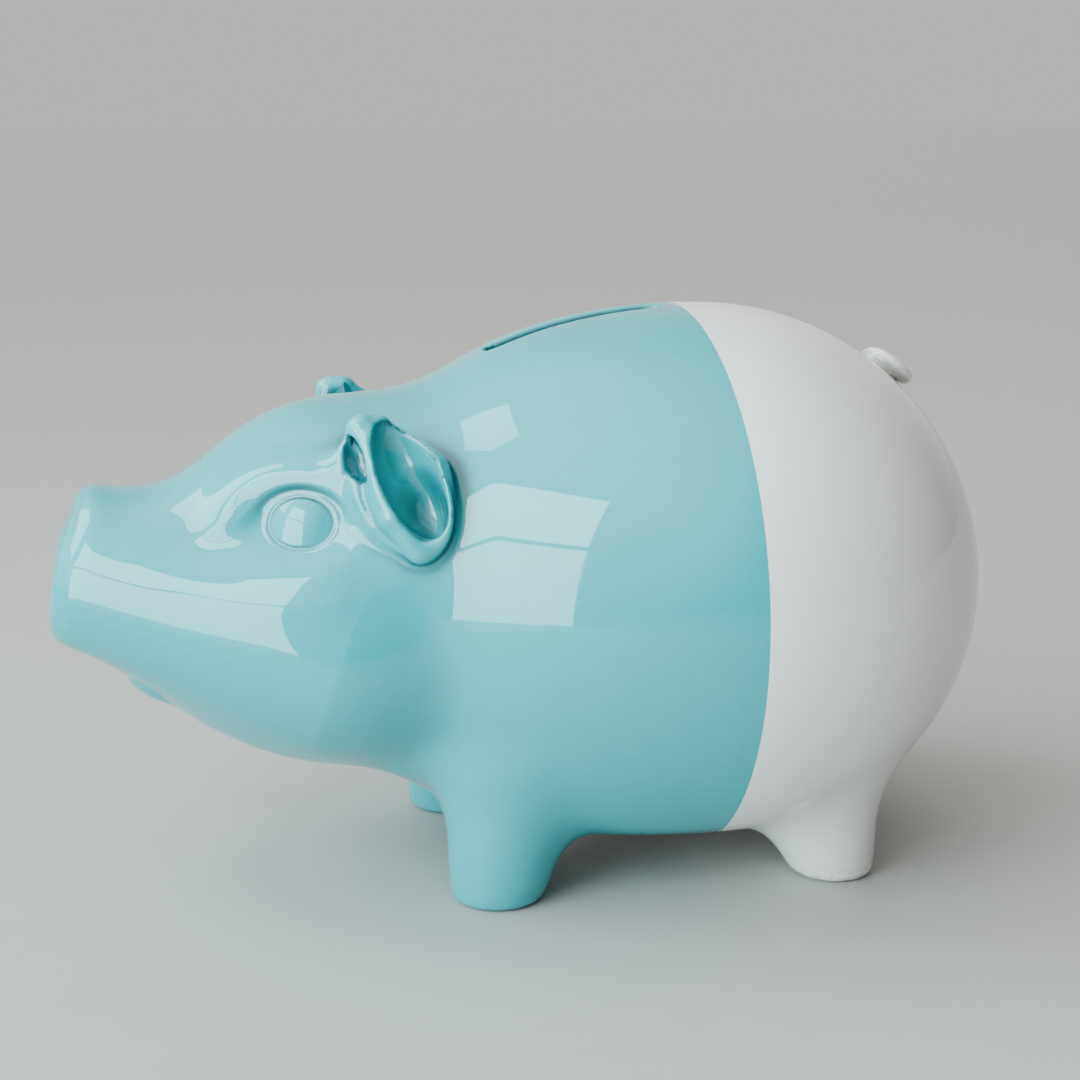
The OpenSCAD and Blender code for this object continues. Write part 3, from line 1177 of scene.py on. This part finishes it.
class Effects:
    """Shared node groups; each gives out colours, masks and heights only."""

    @staticmethod
    def _start(name: str, inputs: dict[str, object], outputs: dict[str, str]) -> tuple:
        """Starts a group with named sockets.

        Args:
            name: Name of the group.
            inputs: Input names with their starting values.
            outputs: Output names with their kind, Color or Float.

        Returns:
            The group, a Nodes helper, its input node and its output node.
        """
        group = bpy.data.node_groups.new(name, "ShaderNodeTree")
        for key, value in inputs.items():
            kind = "NodeSocketFloat" if isinstance(value, float) else "NodeSocketColor"
            socket = group.interface.new_socket(name=key, in_out="INPUT", socket_type=kind)
            socket.default_value = value
        for key, kind in outputs.items():
            group.interface.new_socket(name=key, in_out="OUTPUT", socket_type="NodeSocket" + kind)
        start = group.nodes.new("NodeGroupInput")
        end = group.nodes.new("NodeGroupOutput")
        return group, Nodes(group), start, end

    @classmethod
    def glaze(cls) -> bpy.types.NodeTree:
        """Glaze that thins over edges, pools in creases, darkens in deep hollows as painted shade,
        and carries pinholes and grime.

        Returns:
            The group, with Color, Roughness and Height outputs.
        """
        group, n, start, end = cls._start(
            "glaze_effects",
            {
                "Colour": (0.5, 0.5, 0.5, 1.0), "Thin": (0.5, 0.5, 0.5, 1.0),
                "Pool": (0.5, 0.5, 0.5, 1.0), "Deep": (0.3, 0.3, 0.3, 1.0),
                "Speck": (0.1, 0.1, 0.1, 1.0),
                "Pinholes": 0.5, "Mottle": 0.5, "Grime": 0.5,
            },
            {"Color": "Color", "Roughness": "Float", "Height": "Float"},
        )
        where = n.add("TexCoord").outputs["Object"]
        edge = n.add("Attribute")
        edge.attribute_name = "bend"
        bend = edge.outputs["Fac"]
        wide = n.noise(where, 26.0)
        thin = n.band(n.math("ADD", bend, n.math("MULTIPLY", wide, 0.1)), 0.22, 0.95)
        pool = n.band(n.math("MULTIPLY", bend, -1.0), 0.02, 0.5)
        colour = n.mix(n.math("MULTIPLY", thin, 0.9), start.outputs["Colour"], start.outputs["Thin"])
        colour = n.mix(n.math("MULTIPLY", pool, 0.85), colour, start.outputs["Pool"])
        # Painted shade: the hollow attribute, which says how closed in a point lies, darkens the
        # glaze towards the hollow-shade colour in deep hollows such as the ear's cup.
        hollow = n.add("Attribute")
        hollow.attribute_name = "hollow"
        deep = n.math("MULTIPLY", n.band(hollow.outputs["Fac"], 0.12, 0.6), 0.95)
        colour = n.mix(deep, colour, start.outputs["Deep"])
        mottle = n.math("MULTIPLY", n.band(wide, 0.35, 0.7), start.outputs["Mottle"])
        colour = n.mix(mottle, colour, start.outputs["Pool"])
        fine = n.math("MULTIPLY", n.band(n.noise(where, 420.0, 3.0), 0.45, 0.75), 0.05)
        colour = n.mix(fine, colour, start.outputs["Thin"])
        cells = n.add("TexVoronoi", Vector=where, Scale=95.0, Randomness=1.0)
        pick = n.add("TexWhiteNoise", Vector=cells.outputs["Position"]).outputs["Value"]
        chosen = n.math("LESS_THAN", pick, n.math("MULTIPLY", start.outputs["Pinholes"], 0.09))
        size = n.math("MULTIPLY_ADD", pick, 0.35, 0.014)
        hole = n.math("LESS_THAN", cells.outputs["Distance"], size)
        speck = n.math("MULTIPLY", hole, chosen)
        colour = n.mix(n.math("MULTIPLY", speck, 0.75), colour, start.outputs["Speck"])
        low = n.add("SeparateXYZ", Vector=where).outputs["Z"]
        scuff = n.band(n.noise(where, 900.0, 4.0), 0.5, 0.72)
        near_floor = n.math("SUBTRACT", 1.0, n.band(low, 0.0004, 0.004))
        dirt = n.math("MULTIPLY", n.math("MULTIPLY", scuff, near_floor), start.outputs["Grime"])
        colour = n.mix(dirt, colour, start.outputs["Speck"])
        smear = n.band(n.noise(where, 60.0, 4.0), 0.45, 0.75)
        rough = n.math("MULTIPLY_ADD", smear, 0.03, 0.025)
        rough = n.math("ADD", rough, n.math("MULTIPLY", n.math("MAXIMUM", speck, dirt), 0.45))
        wave = n.noise(where, 75.0, 1.0)
        peel = n.math("MULTIPLY_ADD", n.noise(where, 520.0, 1.0), 0.035, wave)
        height = n.math("SUBTRACT", peel, n.math("MULTIPLY", speck, 0.4))
        for name, value in (("Color", colour), ("Roughness", rough), ("Height", height)):
            n.set(end.inputs[name], value)
        return group

    @classmethod
    def grain(cls) -> bpy.types.NodeTree:
        """Fine grain for matt and satin things.

        Returns:
            The group, with Color, Roughness and Height outputs.
        """
        group, n, start, end = cls._start(
            "grain_effects",
            {
                "Colour": (0.5, 0.5, 0.5, 1.0), "Dark": (0.3, 0.3, 0.3, 1.0),
                "Scale": 900.0, "Amount": 0.3, "Rough": 0.6,
            },
            {"Color": "Color", "Roughness": "Float", "Height": "Float"},
        )
        where = n.add("TexCoord").outputs["Object"]
        fine = n.add(
            "TexNoise", Vector=where, Scale=start.outputs["Scale"], Detail=4.0).outputs["Fac"]
        broad = n.noise(where, 55.0, 3.0)
        amount = n.math("MULTIPLY", n.band(fine, 0.35, 0.8), start.outputs["Amount"])
        colour = n.mix(amount, start.outputs["Colour"], start.outputs["Dark"])
        colour = n.mix(
            n.math("MULTIPLY", n.band(broad, 0.45, 0.75), 0.18), colour, start.outputs["Dark"])
        rough = n.math("MULTIPLY_ADD", fine, 0.12, start.outputs["Rough"])
        for name, value in (("Color", colour), ("Roughness", rough), ("Height", fine)):
            n.set(end.inputs[name], value)
        return group


@dataclass(frozen=True)
class Glaze:
    """A glossy coloured glaze over white clay.

    Attributes:
        name: Name of the material.
        colour: Colour of the glaze where it lies thick.
        thin: Colour where it runs thin over an edge.
        pool: Colour where it pools in a crease.
        deep: Colour in a deep hollow, which is painted shade.
        speck: Colour of pinholes and grime.
        mottle: Strength of the broad unevenness.
    """

    name: str
    colour: tuple[float, float, float]
    thin: tuple[float, float, float]
    pool: tuple[float, float, float]
    deep: tuple[float, float, float]
    speck: tuple[float, float, float] = (0.1, 0.1, 0.09)
    mottle: float = 0.2

    def material(self, effects: bpy.types.NodeTree) -> bpy.types.Material:
        """Builds the material.

        Args:
            effects: The shared glaze group.

        Returns:
            The material.
        """
        m = bpy.data.materials.new(self.name)
        m.use_nodes = True
        n = Nodes(m.node_tree)
        shader = m.node_tree.nodes["Principled BSDF"]
        group = m.node_tree.nodes.new("ShaderNodeGroup")
        group.node_tree = effects
        # The deep colour goes to the group as painted shade for deep hollows.
        for key, colour in (
            ("Colour", self.colour), ("Thin", self.thin), ("Pool", self.pool),
            ("Deep", self.deep), ("Speck", self.speck),
        ):
            group.inputs[key].default_value = rgba(colour)
        group.inputs["Mottle"].default_value = self.mottle
        group.inputs["Pinholes"].default_value = 0.5
        group.inputs["Grime"].default_value = 0.5
        bump = n.add("Bump", Strength=1.0, Distance=0.00006, Height=group.outputs["Height"])
        n.set(shader.inputs["Base Color"], group.outputs["Color"])
        n.set(shader.inputs["Roughness"], group.outputs["Roughness"])
        n.set(shader.inputs["Normal"], bump.outputs["Normal"])
        shader.inputs["IOR"].default_value = 1.64
        shader.inputs["Specular IOR Level"].default_value = 0.58
        return m


@dataclass(frozen=True)
class Plain:
    """A matt or satin finish with a fine grain.

    Attributes:
        name: Name of the material.
        colour: Its colour.
        dark: Colour of its grain.
        rough: Its roughness.
        scale: Size of the grain, per metre.
        amount: Strength of the grain.
        bump: Height of the grain, in metres.
    """

    name: str
    colour: tuple[float, float, float]
    dark: tuple[float, float, float]
    rough: float
    scale: float = 900.0
    amount: float = 0.3
    bump: float = 0.00003

    def material(self, effects: bpy.types.NodeTree) -> bpy.types.Material:
        """Builds the material.

        Args:
            effects: The shared grain group.

        Returns:
            The material.
        """
        m = bpy.data.materials.new(self.name)
        m.use_nodes = True
        n = Nodes(m.node_tree)
        shader = m.node_tree.nodes["Principled BSDF"]
        group = m.node_tree.nodes.new("ShaderNodeGroup")
        group.node_tree = effects
        group.inputs["Colour"].default_value = rgba(self.colour)
        group.inputs["Dark"].default_value = rgba(self.dark)
        group.inputs["Scale"].default_value = self.scale
        group.inputs["Amount"].default_value = self.amount
        group.inputs["Rough"].default_value = self.rough
        bump = n.add("Bump", Strength=0.6, Distance=self.bump, Height=group.outputs["Height"])
        n.set(shader.inputs["Base Color"], group.outputs["Color"])
        n.set(shader.inputs["Roughness"], group.outputs["Roughness"])
        n.set(shader.inputs["Normal"], bump.outputs["Normal"])
        return m


# --------------------------------------------------------------------------------------
# The pottery
# --------------------------------------------------------------------------------------


@dataclass
class Pottery:
    """Cuts the pig's skin into the pieces of pottery and builds them.

    Attributes:
        form: The pig's form.
        turquoise: Glaze of the front pieces.
        white: Glaze of the rear pieces.
        bisque: Bare clay of the feet and of the inside.
        eye_reach: Radius of the finer patch round each eye, in millimetres.
        disc_depth: Thickness of the snout's flat disc.
        deep_plug, piece_plug, shell_plug: How deep eyes and ears, other pieces, and a
            shell's other rims are closed inside the clay.
        head_z: Height above which a shell's rim belongs to an eye or an ear.
    """

    form: Form
    turquoise: bpy.types.Material
    white: bpy.types.Material
    bisque: bpy.types.Material
    eye_reach: float = 8.6
    disc_depth: float = 3.4
    deep_plug: float = 3.3
    piece_plug: float = 1.2
    shell_plug: float = 1.5
    head_z: float = 55.0

    def build(self) -> list[bpy.types.Object]:
        """Builds and places every piece.

        Returns:
            The finished objects.
        """
        form = self.form
        half = uneven([(0.0, 33.0, 0.55), (33.0, 53.0, 1.1)])
        skin = Mesher(
            uneven([(-76.4, -14.0, 0.55), (-14.0, 76.6, 1.05)]),
            np.concatenate([-half[:0:-1], half]),
            uneven([(-1.1, 13.0, 0.7), (13.0, 83.0, 0.55), (83.0, 92.5, 0.7)]),
        ).mesh(form.skin)
        coarse = 2.1
        inner = Mesher(
            uneven([(-66.0, 73.6, coarse)]),
            uneven([(-49.0, 49.0, coarse)]),
            uneven([(8.0, 90.0, coarse)]),
        ).mesh(form.hollow)
        inner = Skin(inner.points, inner.faces[:, ::-1], -inner.normals, 0.0 * inner.marks)
        window = (np.abs(skin.points[:, 1]) < 16) & (np.abs(skin.points[:, 0] - 8) < 18)
        _, skin = skin.split(np.where(window, form.hollow(skin.points), 1.0))
        gap = np.minimum(form.slot(inner.points), form.hole(inner.points))
        _, inner = inner.split(gap)
        made, parts = [], {}
        for side in Side:
            tag = side.name.lower()
            skin, parts[f"{tag}_eye"] = self.cut_eye(skin, side)
            skin, parts[f"{tag}_ear"] = self.cut_off(skin, self.ear_value, side)
            for rear, name in ((0, "front"), (1, "rear")):
                skin, parts[f"{name}_{tag}_leg"] = self.cut_off(
                    skin, lambda p, r=rear: self.leg_value(p, r), side)
        lip, skin = skin.split(self.lip_value(skin.points))
        disc, skin = skin.split(form.snout_depth(skin.points) - self.disc_depth)
        tail, skin = skin.split(self.tail_value(skin.points))
        parts["lower_lip"], parts["snout_disc"], parts["tail"] = lip, disc, tail
        front, rear_part = skin.split(skin.points[:, 0] - form.glaze_x)
        in_front, in_rear = inner.split(inner.points[:, 0] - form.glaze_x)
        for name, outer, hollow in (
            ("front_shell", front, in_front), ("rear_shell", rear_part, in_rear)
        ):
            made.append(self.finish(name, self.close_shell(outer, hollow)))
        for name, part in parts.items():
            deep = name.endswith(("_eye", "_ear"))
            closed = part.capped(self.deep_plug, form.body) if deep else part.capped(self.piece_plug)
            made.append(self.finish(name, closed))
        return made

    def finish(self, name: str, skin: Skin) -> bpy.types.Object:
        """Makes a piece's object, dresses it and ties it to its node.

        Args:
            name: Name of the CAD node that the piece shows.
            skin: Its closed mesh.

        Returns:
            The object.
        """
        white = name.startswith("rear") or name == "tail"
        glaze = self.white if white else self.turquoise
        obj = make_object(name + "_ware", skin, [glaze, self.bisque])
        sole_z, flat = 0.25, 0.97
        centre = skin.points[skin.faces].mean(1)
        level = np.abs(skin.normals[skin.faces].mean(1)[:, 2]) > flat
        bare = (centre[:, 2] < sole_z) & level
        if name.endswith("shell"):
            bare |= self.form.body(centre) < 0.1 - self.form.wall
        obj.data.polygons.foreach_set("material_index", bare.astype(np.int32))
        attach(obj, "pig")
        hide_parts(name)
        return obj

    def mirrored(self, p: Array, side: Side) -> Array:
        """Points as seen from the left side.

        Args:
            p: Points, in millimetres.
            side: The side that is looked at.

        Returns:
            The points, with those of the other side put far away.
        """
        q = p.copy()
        q[:, 1] *= -side.value
        q[q[:, 1] > 0] = 1000.0
        return q

    def cut_off(self, skin: Skin, value: Field, side: Side) -> tuple[Skin, Skin]:
        """Cuts one growing part off the skin.

        Args:
            skin: The skin.
            value: Negative on the part, in the left side's coordinates.
            side: The side that the part is on.

        Returns:
            The rest of the skin, and the part.
        """
        part, rest = skin.split(value(self.mirrored(skin.points, side)))
        return rest, part

    def leg_value(self, p: Array, rear: int) -> Array:
        """How much more the skin belongs to the body than to a leg.

        Args:
            p: Points, in millimetres.
            rear: 0 for the front leg and 1 for the rear one.

        Returns:
            A value at each point, negative on the leg.
        """
        form = self.form
        v = form.leg(p, rear) - form.body(p)
        far = np.abs(p - np.array((form.leg_x[rear], -form.leg_y[rear], 10.0))).max(-1) > 19.0
        return np.where(far, 5.0, v)

    def ear_value(self, p: Array) -> Array:
        """How far points lie outside the outline of an ear.

        Args:
            p: Points, in millimetres.

        Returns:
            A value at each point, negative on the ear.
        """
        q = self.form.ear.of(p)
        r = np.hypot((q[:, 0] - 0.2) / 8.4, (q[:, 1] + 0.6) / 12.6)
        far = np.abs(q[:, 2]) > 8.0
        return np.where(far, 5.0, (r - 1.0) * 8.0)

    def lip_value(self, p: Array) -> Array:
        """How much more the skin belongs to the head than to the lower lip.

        Args:
            p: Points, in millimetres.

        Returns:
            A value at each point, negative on the lip.
        """
        f = self.form
        g = f._with_lip(p, np.full(len(p), 50.0))
        far = np.abs(p - np.array((-61.0, 0.0, 33.0))).max(-1) > 11.0
        return np.where(far, 5.0, g - f.body(p))

    def tail_value(self, p: Array) -> Array:
        """How much more the skin belongs to the rump than to the tail.

        Args:
            p: Points, in millimetres.

        Returns:
            A value at each point, negative on the tail.
        """
        f = self.form
        q = f.tail.of(p)
        far = np.abs(q - np.array((0.0, 2.0, 2.0))).max(-1) > 9.0
        return np.where(far, 5.0, f.curl(q) - f.body(p))

    def cut_eye(self, skin: Skin, side: Side) -> tuple[Skin, Skin]:
        """Cuts a round patch off the skin round an eye and makes it again, finer.

        Args:
            skin: The skin.
            side: The side of the eye.

        Returns:
            The rest of the skin, and the finer patch.
        """
        eye = self.form.eye
        q = eye.of(self.mirrored(skin.points, side))
        r = np.hypot(q[:, 0], q[:, 1]) - self.eye_reach
        _, rest = skin.split(np.where(np.abs(q[:, 2]) > 9.0, 5.0, r))
        rings, spokes = 44, 112
        rho = self.eye_reach * (np.arange(1, rings + 1) / rings)
        phi = 2 * math.pi * np.arange(spokes) / spokes
        flat = np.concatenate([[[0.0, 0.0]], np.stack(
            [np.outer(rho, np.cos(phi)), np.outer(rho, np.sin(phi))], -1).reshape(-1, 2)])
        lo, hi = np.full(len(flat), -6.0), np.full(len(flat), 4.0)
        for _ in range(26):
            mid = (lo + hi) / 2
            f = self.form.skin(eye.back(np.column_stack([flat, mid])))
            lo, hi = np.where(f < 0, mid, lo), np.where(f < 0, hi, mid)
        p = eye.back(np.column_stack([flat, lo]))
        n = slope(self.form.skin, p, 0.01)
        i = np.arange(spokes)
        j = (i + 1) % spokes
        faces = [np.stack([np.zeros(spokes, int), 1 + i, 1 + j], 1)]
        for k in range(rings - 1):
            a, b = 1 + k * spokes, 1 + (k + 1) * spokes
            faces.append(np.stack([a + i, b + i, b + j], 1))
            faces.append(np.stack([a + i, b + j, a + j], 1))
        f = np.concatenate(faces)
        marks = mark(self.form.skin, p, n, 0.8) * (0.5, 1.0)
        if side is Side.RIGHT:
            p, n, f = p * (1, -1, 1), n * (1, -1, 1), f[:, ::-1]
        return rest, Skin(p, f, n, marks)

    def close_shell(self, outer: Skin, hollow: Skin) -> Skin:
        """Joins a shell's outer skin, its hollow and their open rims.

        Args:
            outer: The outer skin.
            hollow: The skin of the hollow.

        Returns:
            One closed mesh.
        """
        form = self.form
        lengthwise, upright = np.array((1.0, 0.0, 0.0)), np.array((0.0, 0.0, 1.0))
        added, bridged = [], set()
        for hub, axis in (
            (np.array((form.glaze_x, 0.0, 47.0)), lengthwise),
            (np.array((form.slot_x, 0.0, 86.0)), upright),
            (np.array((form.hole_x, 0.0, 10.5)), upright),
        ):
            rim, inner_rim = outer.rim_round(hub, axis), hollow.rim_round(hub, axis)
            if rim is None or inner_rim is None:
                continue
            added.append(bridge(outer, hollow, rim, inner_rim, hub, axis))
            bridged.add(int(rim[0]))
        for loop in outer.rims():
            if int(loop[0]) in bridged:
                continue
            ring = outer.points[loop]
            on_head = ring[:, 2].mean() > self.head_z and ring[0, 0] < form.glaze_x
            added.append(
                outer.plug(loop, self.deep_plug, form.body) if on_head
                else outer.plug(loop, self.shell_plug))
        return outer.joined(hollow, *added)


# --------------------------------------------------------------------------------------
# The stopper
# --------------------------------------------------------------------------------------


@dataclass
class Stopper:
    """The soft stopper in the belly hole.

    Attributes:
        form: The pig's form, which gives the hole's sizes.
        rubber: Its material.
        gap: Running clearance in the hole, on the radius, in millimetres.
        flange: Thickness of the flange.
        grip_r: Radius of the two finger hollows in the underside.
        rib_count: Number of grip ribs round the flange.
        rib_ring: Radius of the ring that the middles of the ribs lie on.
        rib_length, rib_thick: Length and thickness of a rib.
    """

    form: Form
    rubber: bpy.types.Material
    gap: float = 0.06
    flange: float = 2.2
    grip_r: float = 8.0
    rib_count: int = 28
    rib_ring: float = 11.4
    rib_length: float = 3.6
    rib_thick: float = 0.45

    def plug(self, p: Array) -> Array:
        """Field of the stopper: flange, two sealing lands, hollow top and finger hollows.

        Args:
            p: Points, in millimetres.

        Returns:
            The field at each point, negative inside.
        """
        f = self.form
        x, y, z = p[:, 0] - f.hole_x, p[:, 1], p[:, 2] - f.seat_z + 0.05
        r = np.hypot(x, y)
        lands = np.maximum(bell((z - 1.5) / 1.3), bell((z - 4.4) / 1.3))
        side = f.hole_r - self.gap - 0.6 + 0.6 * lands - 2.0 * fade(z, 4.8, 7.4)
        stem = soft_max(r - side, z - 7.0, 0.8)
        flange = soft_max(r - f.recess_r + 0.4, np.abs(z + self.flange / 2) - self.flange / 2, 0.7)
        body = soft_min(soft_max(stem, -1.0 - z, 0.2), flange, 0.3)
        body = soft_max(body, -soft_max(r - f.hole_r + 3.1, 2.0 - z, 1.0), 0.6)
        grip = soft_max(soft_max(r - self.grip_r, 1.3 - np.abs(y), 0.8), z + 0.8, 0.8)
        return soft_max(body, -grip, 0.7)

    def ribs(self) -> bpy.types.Mesh:
        """The grip ribs round the flange, laid out by a node tree.

        Returns:
            One mesh with every rib, in the frame's place.
        """
        tree = bpy.data.node_groups.new("grip_ribs", "GeometryNodeTree")
        sockets = {}
        for name, kind, value in (
            ("Count", "NodeSocketInt", self.rib_count),
            ("Ring", "NodeSocketFloat", self.rib_ring * MM),
            ("Length", "NodeSocketFloat", self.rib_length * MM),
            ("Thick", "NodeSocketFloat", self.rib_thick * MM),
        ):
            socket = tree.interface.new_socket(name=name, in_out="INPUT", socket_type=kind)
            sockets[socket.identifier] = value
        tree.interface.new_socket(
            name="Geometry", in_out="OUTPUT", socket_type="NodeSocketGeometry")
        start, end = tree.nodes.new("NodeGroupInput"), tree.nodes.new("NodeGroupOutput")
        ring, rib, turn, place, real, paint, move = (
            tree.nodes.new(kind) for kind in (
                "GeometryNodeMeshCircle", "GeometryNodeMeshUVSphere",
                "FunctionNodeAlignRotationToVector", "GeometryNodeInstanceOnPoints",
                "GeometryNodeRealizeInstances", "GeometryNodeSetMaterial",
                "GeometryNodeTransform"))
        where, size = tree.nodes.new("GeometryNodeInputPosition"), tree.nodes.new(
            "ShaderNodeCombineXYZ")
        rib.inputs["Segments"].default_value, rib.inputs["Rings"].default_value = 16, 10
        rib.inputs["Radius"].default_value = 0.5
        turn.axis = "X"
        paint.inputs["Material"].default_value = self.rubber
        low = (self.form.seat_z - 0.05 - self.flange) * MM
        move.inputs["Translation"].default_value = (self.form.hole_x * MM, 0.0, low)
        for out, into in (
            (start.outputs["Count"], ring.inputs["Vertices"]),
            (start.outputs["Ring"], ring.inputs["Radius"]),
            (start.outputs["Length"], size.inputs["X"]),
            (start.outputs["Thick"], size.inputs["Y"]),
            (start.outputs["Thick"], size.inputs["Z"]),
            (where.outputs["Position"], turn.inputs["Vector"]),
            (ring.outputs["Mesh"], place.inputs["Points"]),
            (rib.outputs["Mesh"], place.inputs["Instance"]),
            (turn.outputs["Rotation"], place.inputs["Rotation"]),
            (size.outputs["Vector"], place.inputs["Scale"]),
            (place.outputs["Instances"], move.inputs["Geometry"]),
            (move.outputs["Geometry"], real.inputs["Geometry"]),
            (real.outputs["Geometry"], paint.inputs["Geometry"]),
            (paint.outputs["Geometry"], end.inputs["Geometry"]),
        ):
            tree.links.new(out, into)
        host = bpy.data.objects.new("ribs_host", bpy.data.meshes.new("ribs_host"))
        bpy.context.scene.collection.objects.link(host)
        modifier = host.modifiers.new("ribs", "NODES")
        modifier.node_group = tree
        for key, value in sockets.items():
            modifier[key] = value
        made = bpy.data.meshes.new_from_object(
            host.evaluated_get(bpy.context.evaluated_depsgraph_get()))
        bpy.data.objects.remove(host)
        return made

    def build(self) -> list[bpy.types.Object]:
        """Builds the stopper and its grip ribs and ties them to their node.

        Returns:
            The two objects.
        """
        f = self.form
        span = np.arange(-15.2, 15.3, 0.42)
        skin = Mesher(f.hole_x + span, span, np.arange(5.4, 16.8, 0.4)).mesh(self.plug)
        plug = make_object("stopper_plug", skin, [self.rubber])
        ribs = bpy.data.objects.new("stopper_ribs", self.ribs())
        bpy.context.scene.collection.objects.link(ribs)
        for obj in (plug, ribs):
            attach(obj, "plug")
            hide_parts("stopper")
        return [plug, ribs]


# --------------------------------------------------------------------------------------
# Studio
# --------------------------------------------------------------------------------------


@dataclass(frozen=True)
class Panel:
    """A soft light panel that stands round the pig.

    Attributes:
        name: Name of the light.
        turn: Where it stands round the pig, in degrees from its left side towards the tail,
            and below 0 towards the snout.
        low, high: Heights of its lower and upper edge, in metres.
        width: Width in metres.
        away: Distance from the pig, in metres.
        power: Power in watts.
        colour: Colour of the light.
    """

    name: str
    turn: float
    low: float
    high: float
    width: float
    away: float
    power: float
    colour: tuple[float, float, float] = (0.66, 0.96, 1.0)

    def build(self) -> bpy.types.Object:
        """Makes the light, turned towards the pig.

        Returns:
            The light's object.
        """
        data = bpy.data.lights.new(self.name, "AREA")
        data.shape = "RECTANGLE"
        data.size, data.size_y = self.width, self.high - self.low
        data.energy, data.color = self.power, self.colour
        obj = bpy.data.objects.new(self.name, data)
        a = math.radians(self.turn)
        obj.location = (
            self.away * math.sin(a), -self.away * math.cos(a), (self.low + self.high) / 2)
        obj.rotation_euler = (math.pi / 2, 0.0, a)
        obj.visible_camera = False
        bpy.context.scene.collection.objects.link(obj)
        return obj


@dataclass
class Studio:
    """Floor, lights, surroundings and camera.

    Attributes:
        floor_finish: Material of the floor.
        floor_half: Half the side of the square floor, in metres.
    """

    floor_finish: bpy.types.Material
    floor_half: float = 30.0

    def floor(self) -> bpy.types.Object:
        """Makes a wide pale floor.

        Returns:
            The floor's object.
        """
        mesh = bpy.data.meshes.new("floor")
        s = self.floor_half
        mesh.from_pydata([(-s, -s, 0), (s, -s, 0), (s, s, 0), (-s, s, 0)], [], [(0, 1, 2, 3)])
        mesh.materials.append(self.floor_finish)
        obj = bpy.data.objects.new("floor", mesh)
        bpy.context.scene.collection.objects.link(obj)
        return obj

    def world(self) -> None:
        """Makes a pale room that is darker towards the tail and bright above the head."""
        world = bpy.data.worlds.new("room")
        world.use_nodes = True
        n = Nodes(world.node_tree)
        way = n.add("TexCoord").outputs["Generated"]
        parts = n.add("SeparateXYZ", Vector=way).outputs
        colour = n.mix(
            n.band(parts["X"], -0.7, 0.7), (0.34, 0.34, 0.34, 1.0), (0.02, 0.02, 0.02, 1.0))
        above = n.band(n.math("MULTIPLY_ADD", parts["X"], -0.9, parts["Z"]), 0.2, 1.3)
        colour = n.mix(above, colour, (2.4, 2.37, 2.32, 1.0))
        colour = n.mix(n.band(parts["Y"], 0.3, 0.95), colour, (1.0, 0.985, 0.95, 1.0))
        seen = n.add("LightPath").outputs["Is Camera Ray"]
        colour = n.mix(seen, colour, (0.62, 0.61, 0.595, 1.0))
        back = world.node_tree.nodes["Background"]
        n.set(back.inputs["Color"], colour)
        back.inputs["Strength"].default_value = 1.0
        bpy.context.scene.world = world

    def lights(self) -> None:
        """Hangs a window in two panes before the head and a taller one beside it."""
        for name, low, high in (("window_low", 0.0, 0.236), ("window_high", 0.25, 0.47)):
            Panel(name, turn=-55.0, low=low, high=high, width=0.297, away=0.42, power=1.9).build()
        Panel(
            "window_side", turn=-107.5, low=0.356, high=1.2, width=0.425, away=0.6, power=7.0
        ).build()

    def camera(self) -> None:
        """The camera, a little in front of the pig's side and above it."""
        yaw, pitch, away = math.radians(12.69), math.radians(12.8), 0.30647
        aim = Vector((2.4 * MM, 0.0, 52.75 * MM))
        ahead = Vector((
            math.sin(yaw) * math.cos(pitch), math.cos(yaw) * math.cos(pitch), -math.sin(pitch)))
        data = bpy.data.cameras.new("camera")
        data.sensor_width, data.lens = 36.0, 61.6
        data.clip_start, data.clip_end = 0.01, 50.0
        obj = bpy.data.objects.new("camera", data)
        obj.location = aim - ahead * away
        obj.rotation_mode = "QUATERNION"
        obj.rotation_quaternion = ahead.to_track_quat("-Z", "Y")
        bpy.context.scene.collection.objects.link(obj)
        bpy.context.scene.camera = obj


def main() -> None:
    """Builds the pottery, the stopper and the studio round the frame, and reports them."""
    logging.basicConfig(level=logging.INFO, format="%(message)s")
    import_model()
    glaze, grain = Effects.glaze(), Effects.grain()
    # Each glaze's deep colour is painted shade, laid into deep hollows such as the ear's cup.
    turquoise = Glaze(
        "turquoise_glaze",
        colour=(0.004, 0.39, 0.43), thin=(0.07, 0.58, 0.6),
        pool=(0.002, 0.25, 0.29), deep=(0.001, 0.07, 0.085))
    white = Glaze(
        "white_glaze",
        colour=(0.89, 0.88, 0.865), thin=(0.9, 0.89, 0.875),
        pool=(0.74, 0.72, 0.68), deep=(0.45, 0.43, 0.4),
        speck=(0.2, 0.16, 0.12), mottle=0.12)
    bisque = Plain(
        "bare_clay", colour=(0.74, 0.71, 0.65), dark=(0.52, 0.48, 0.42), rough=0.85,
        scale=1500.0, amount=0.35)
    rubber = Plain(
        "stopper_rubber", colour=(0.6, 0.58, 0.52), dark=(0.48, 0.46, 0.41), rough=0.5,
        scale=2400.0, amount=0.25)
    paint = Plain(
        "pale_floor", colour=(0.43, 0.42, 0.405), dark=(0.37, 0.36, 0.35), rough=0.55,
        scale=140.0, amount=0.12)
    form = Form()
    pottery = Pottery(
        form, turquoise.material(glaze), white.material(glaze), bisque.material(grain))
    stopper = Stopper(form, rubber.material(grain))
    for piece in [*pottery.build(), *stopper.build()]:
        LOG.info("%s: %d faces", piece.name, len(piece.data.polygons))
    studio = Studio(paint.material(grain))
    studio.floor()
    studio.world()
    studio.lights()
    studio.camera()


if __name__ == "__main__":
    main()
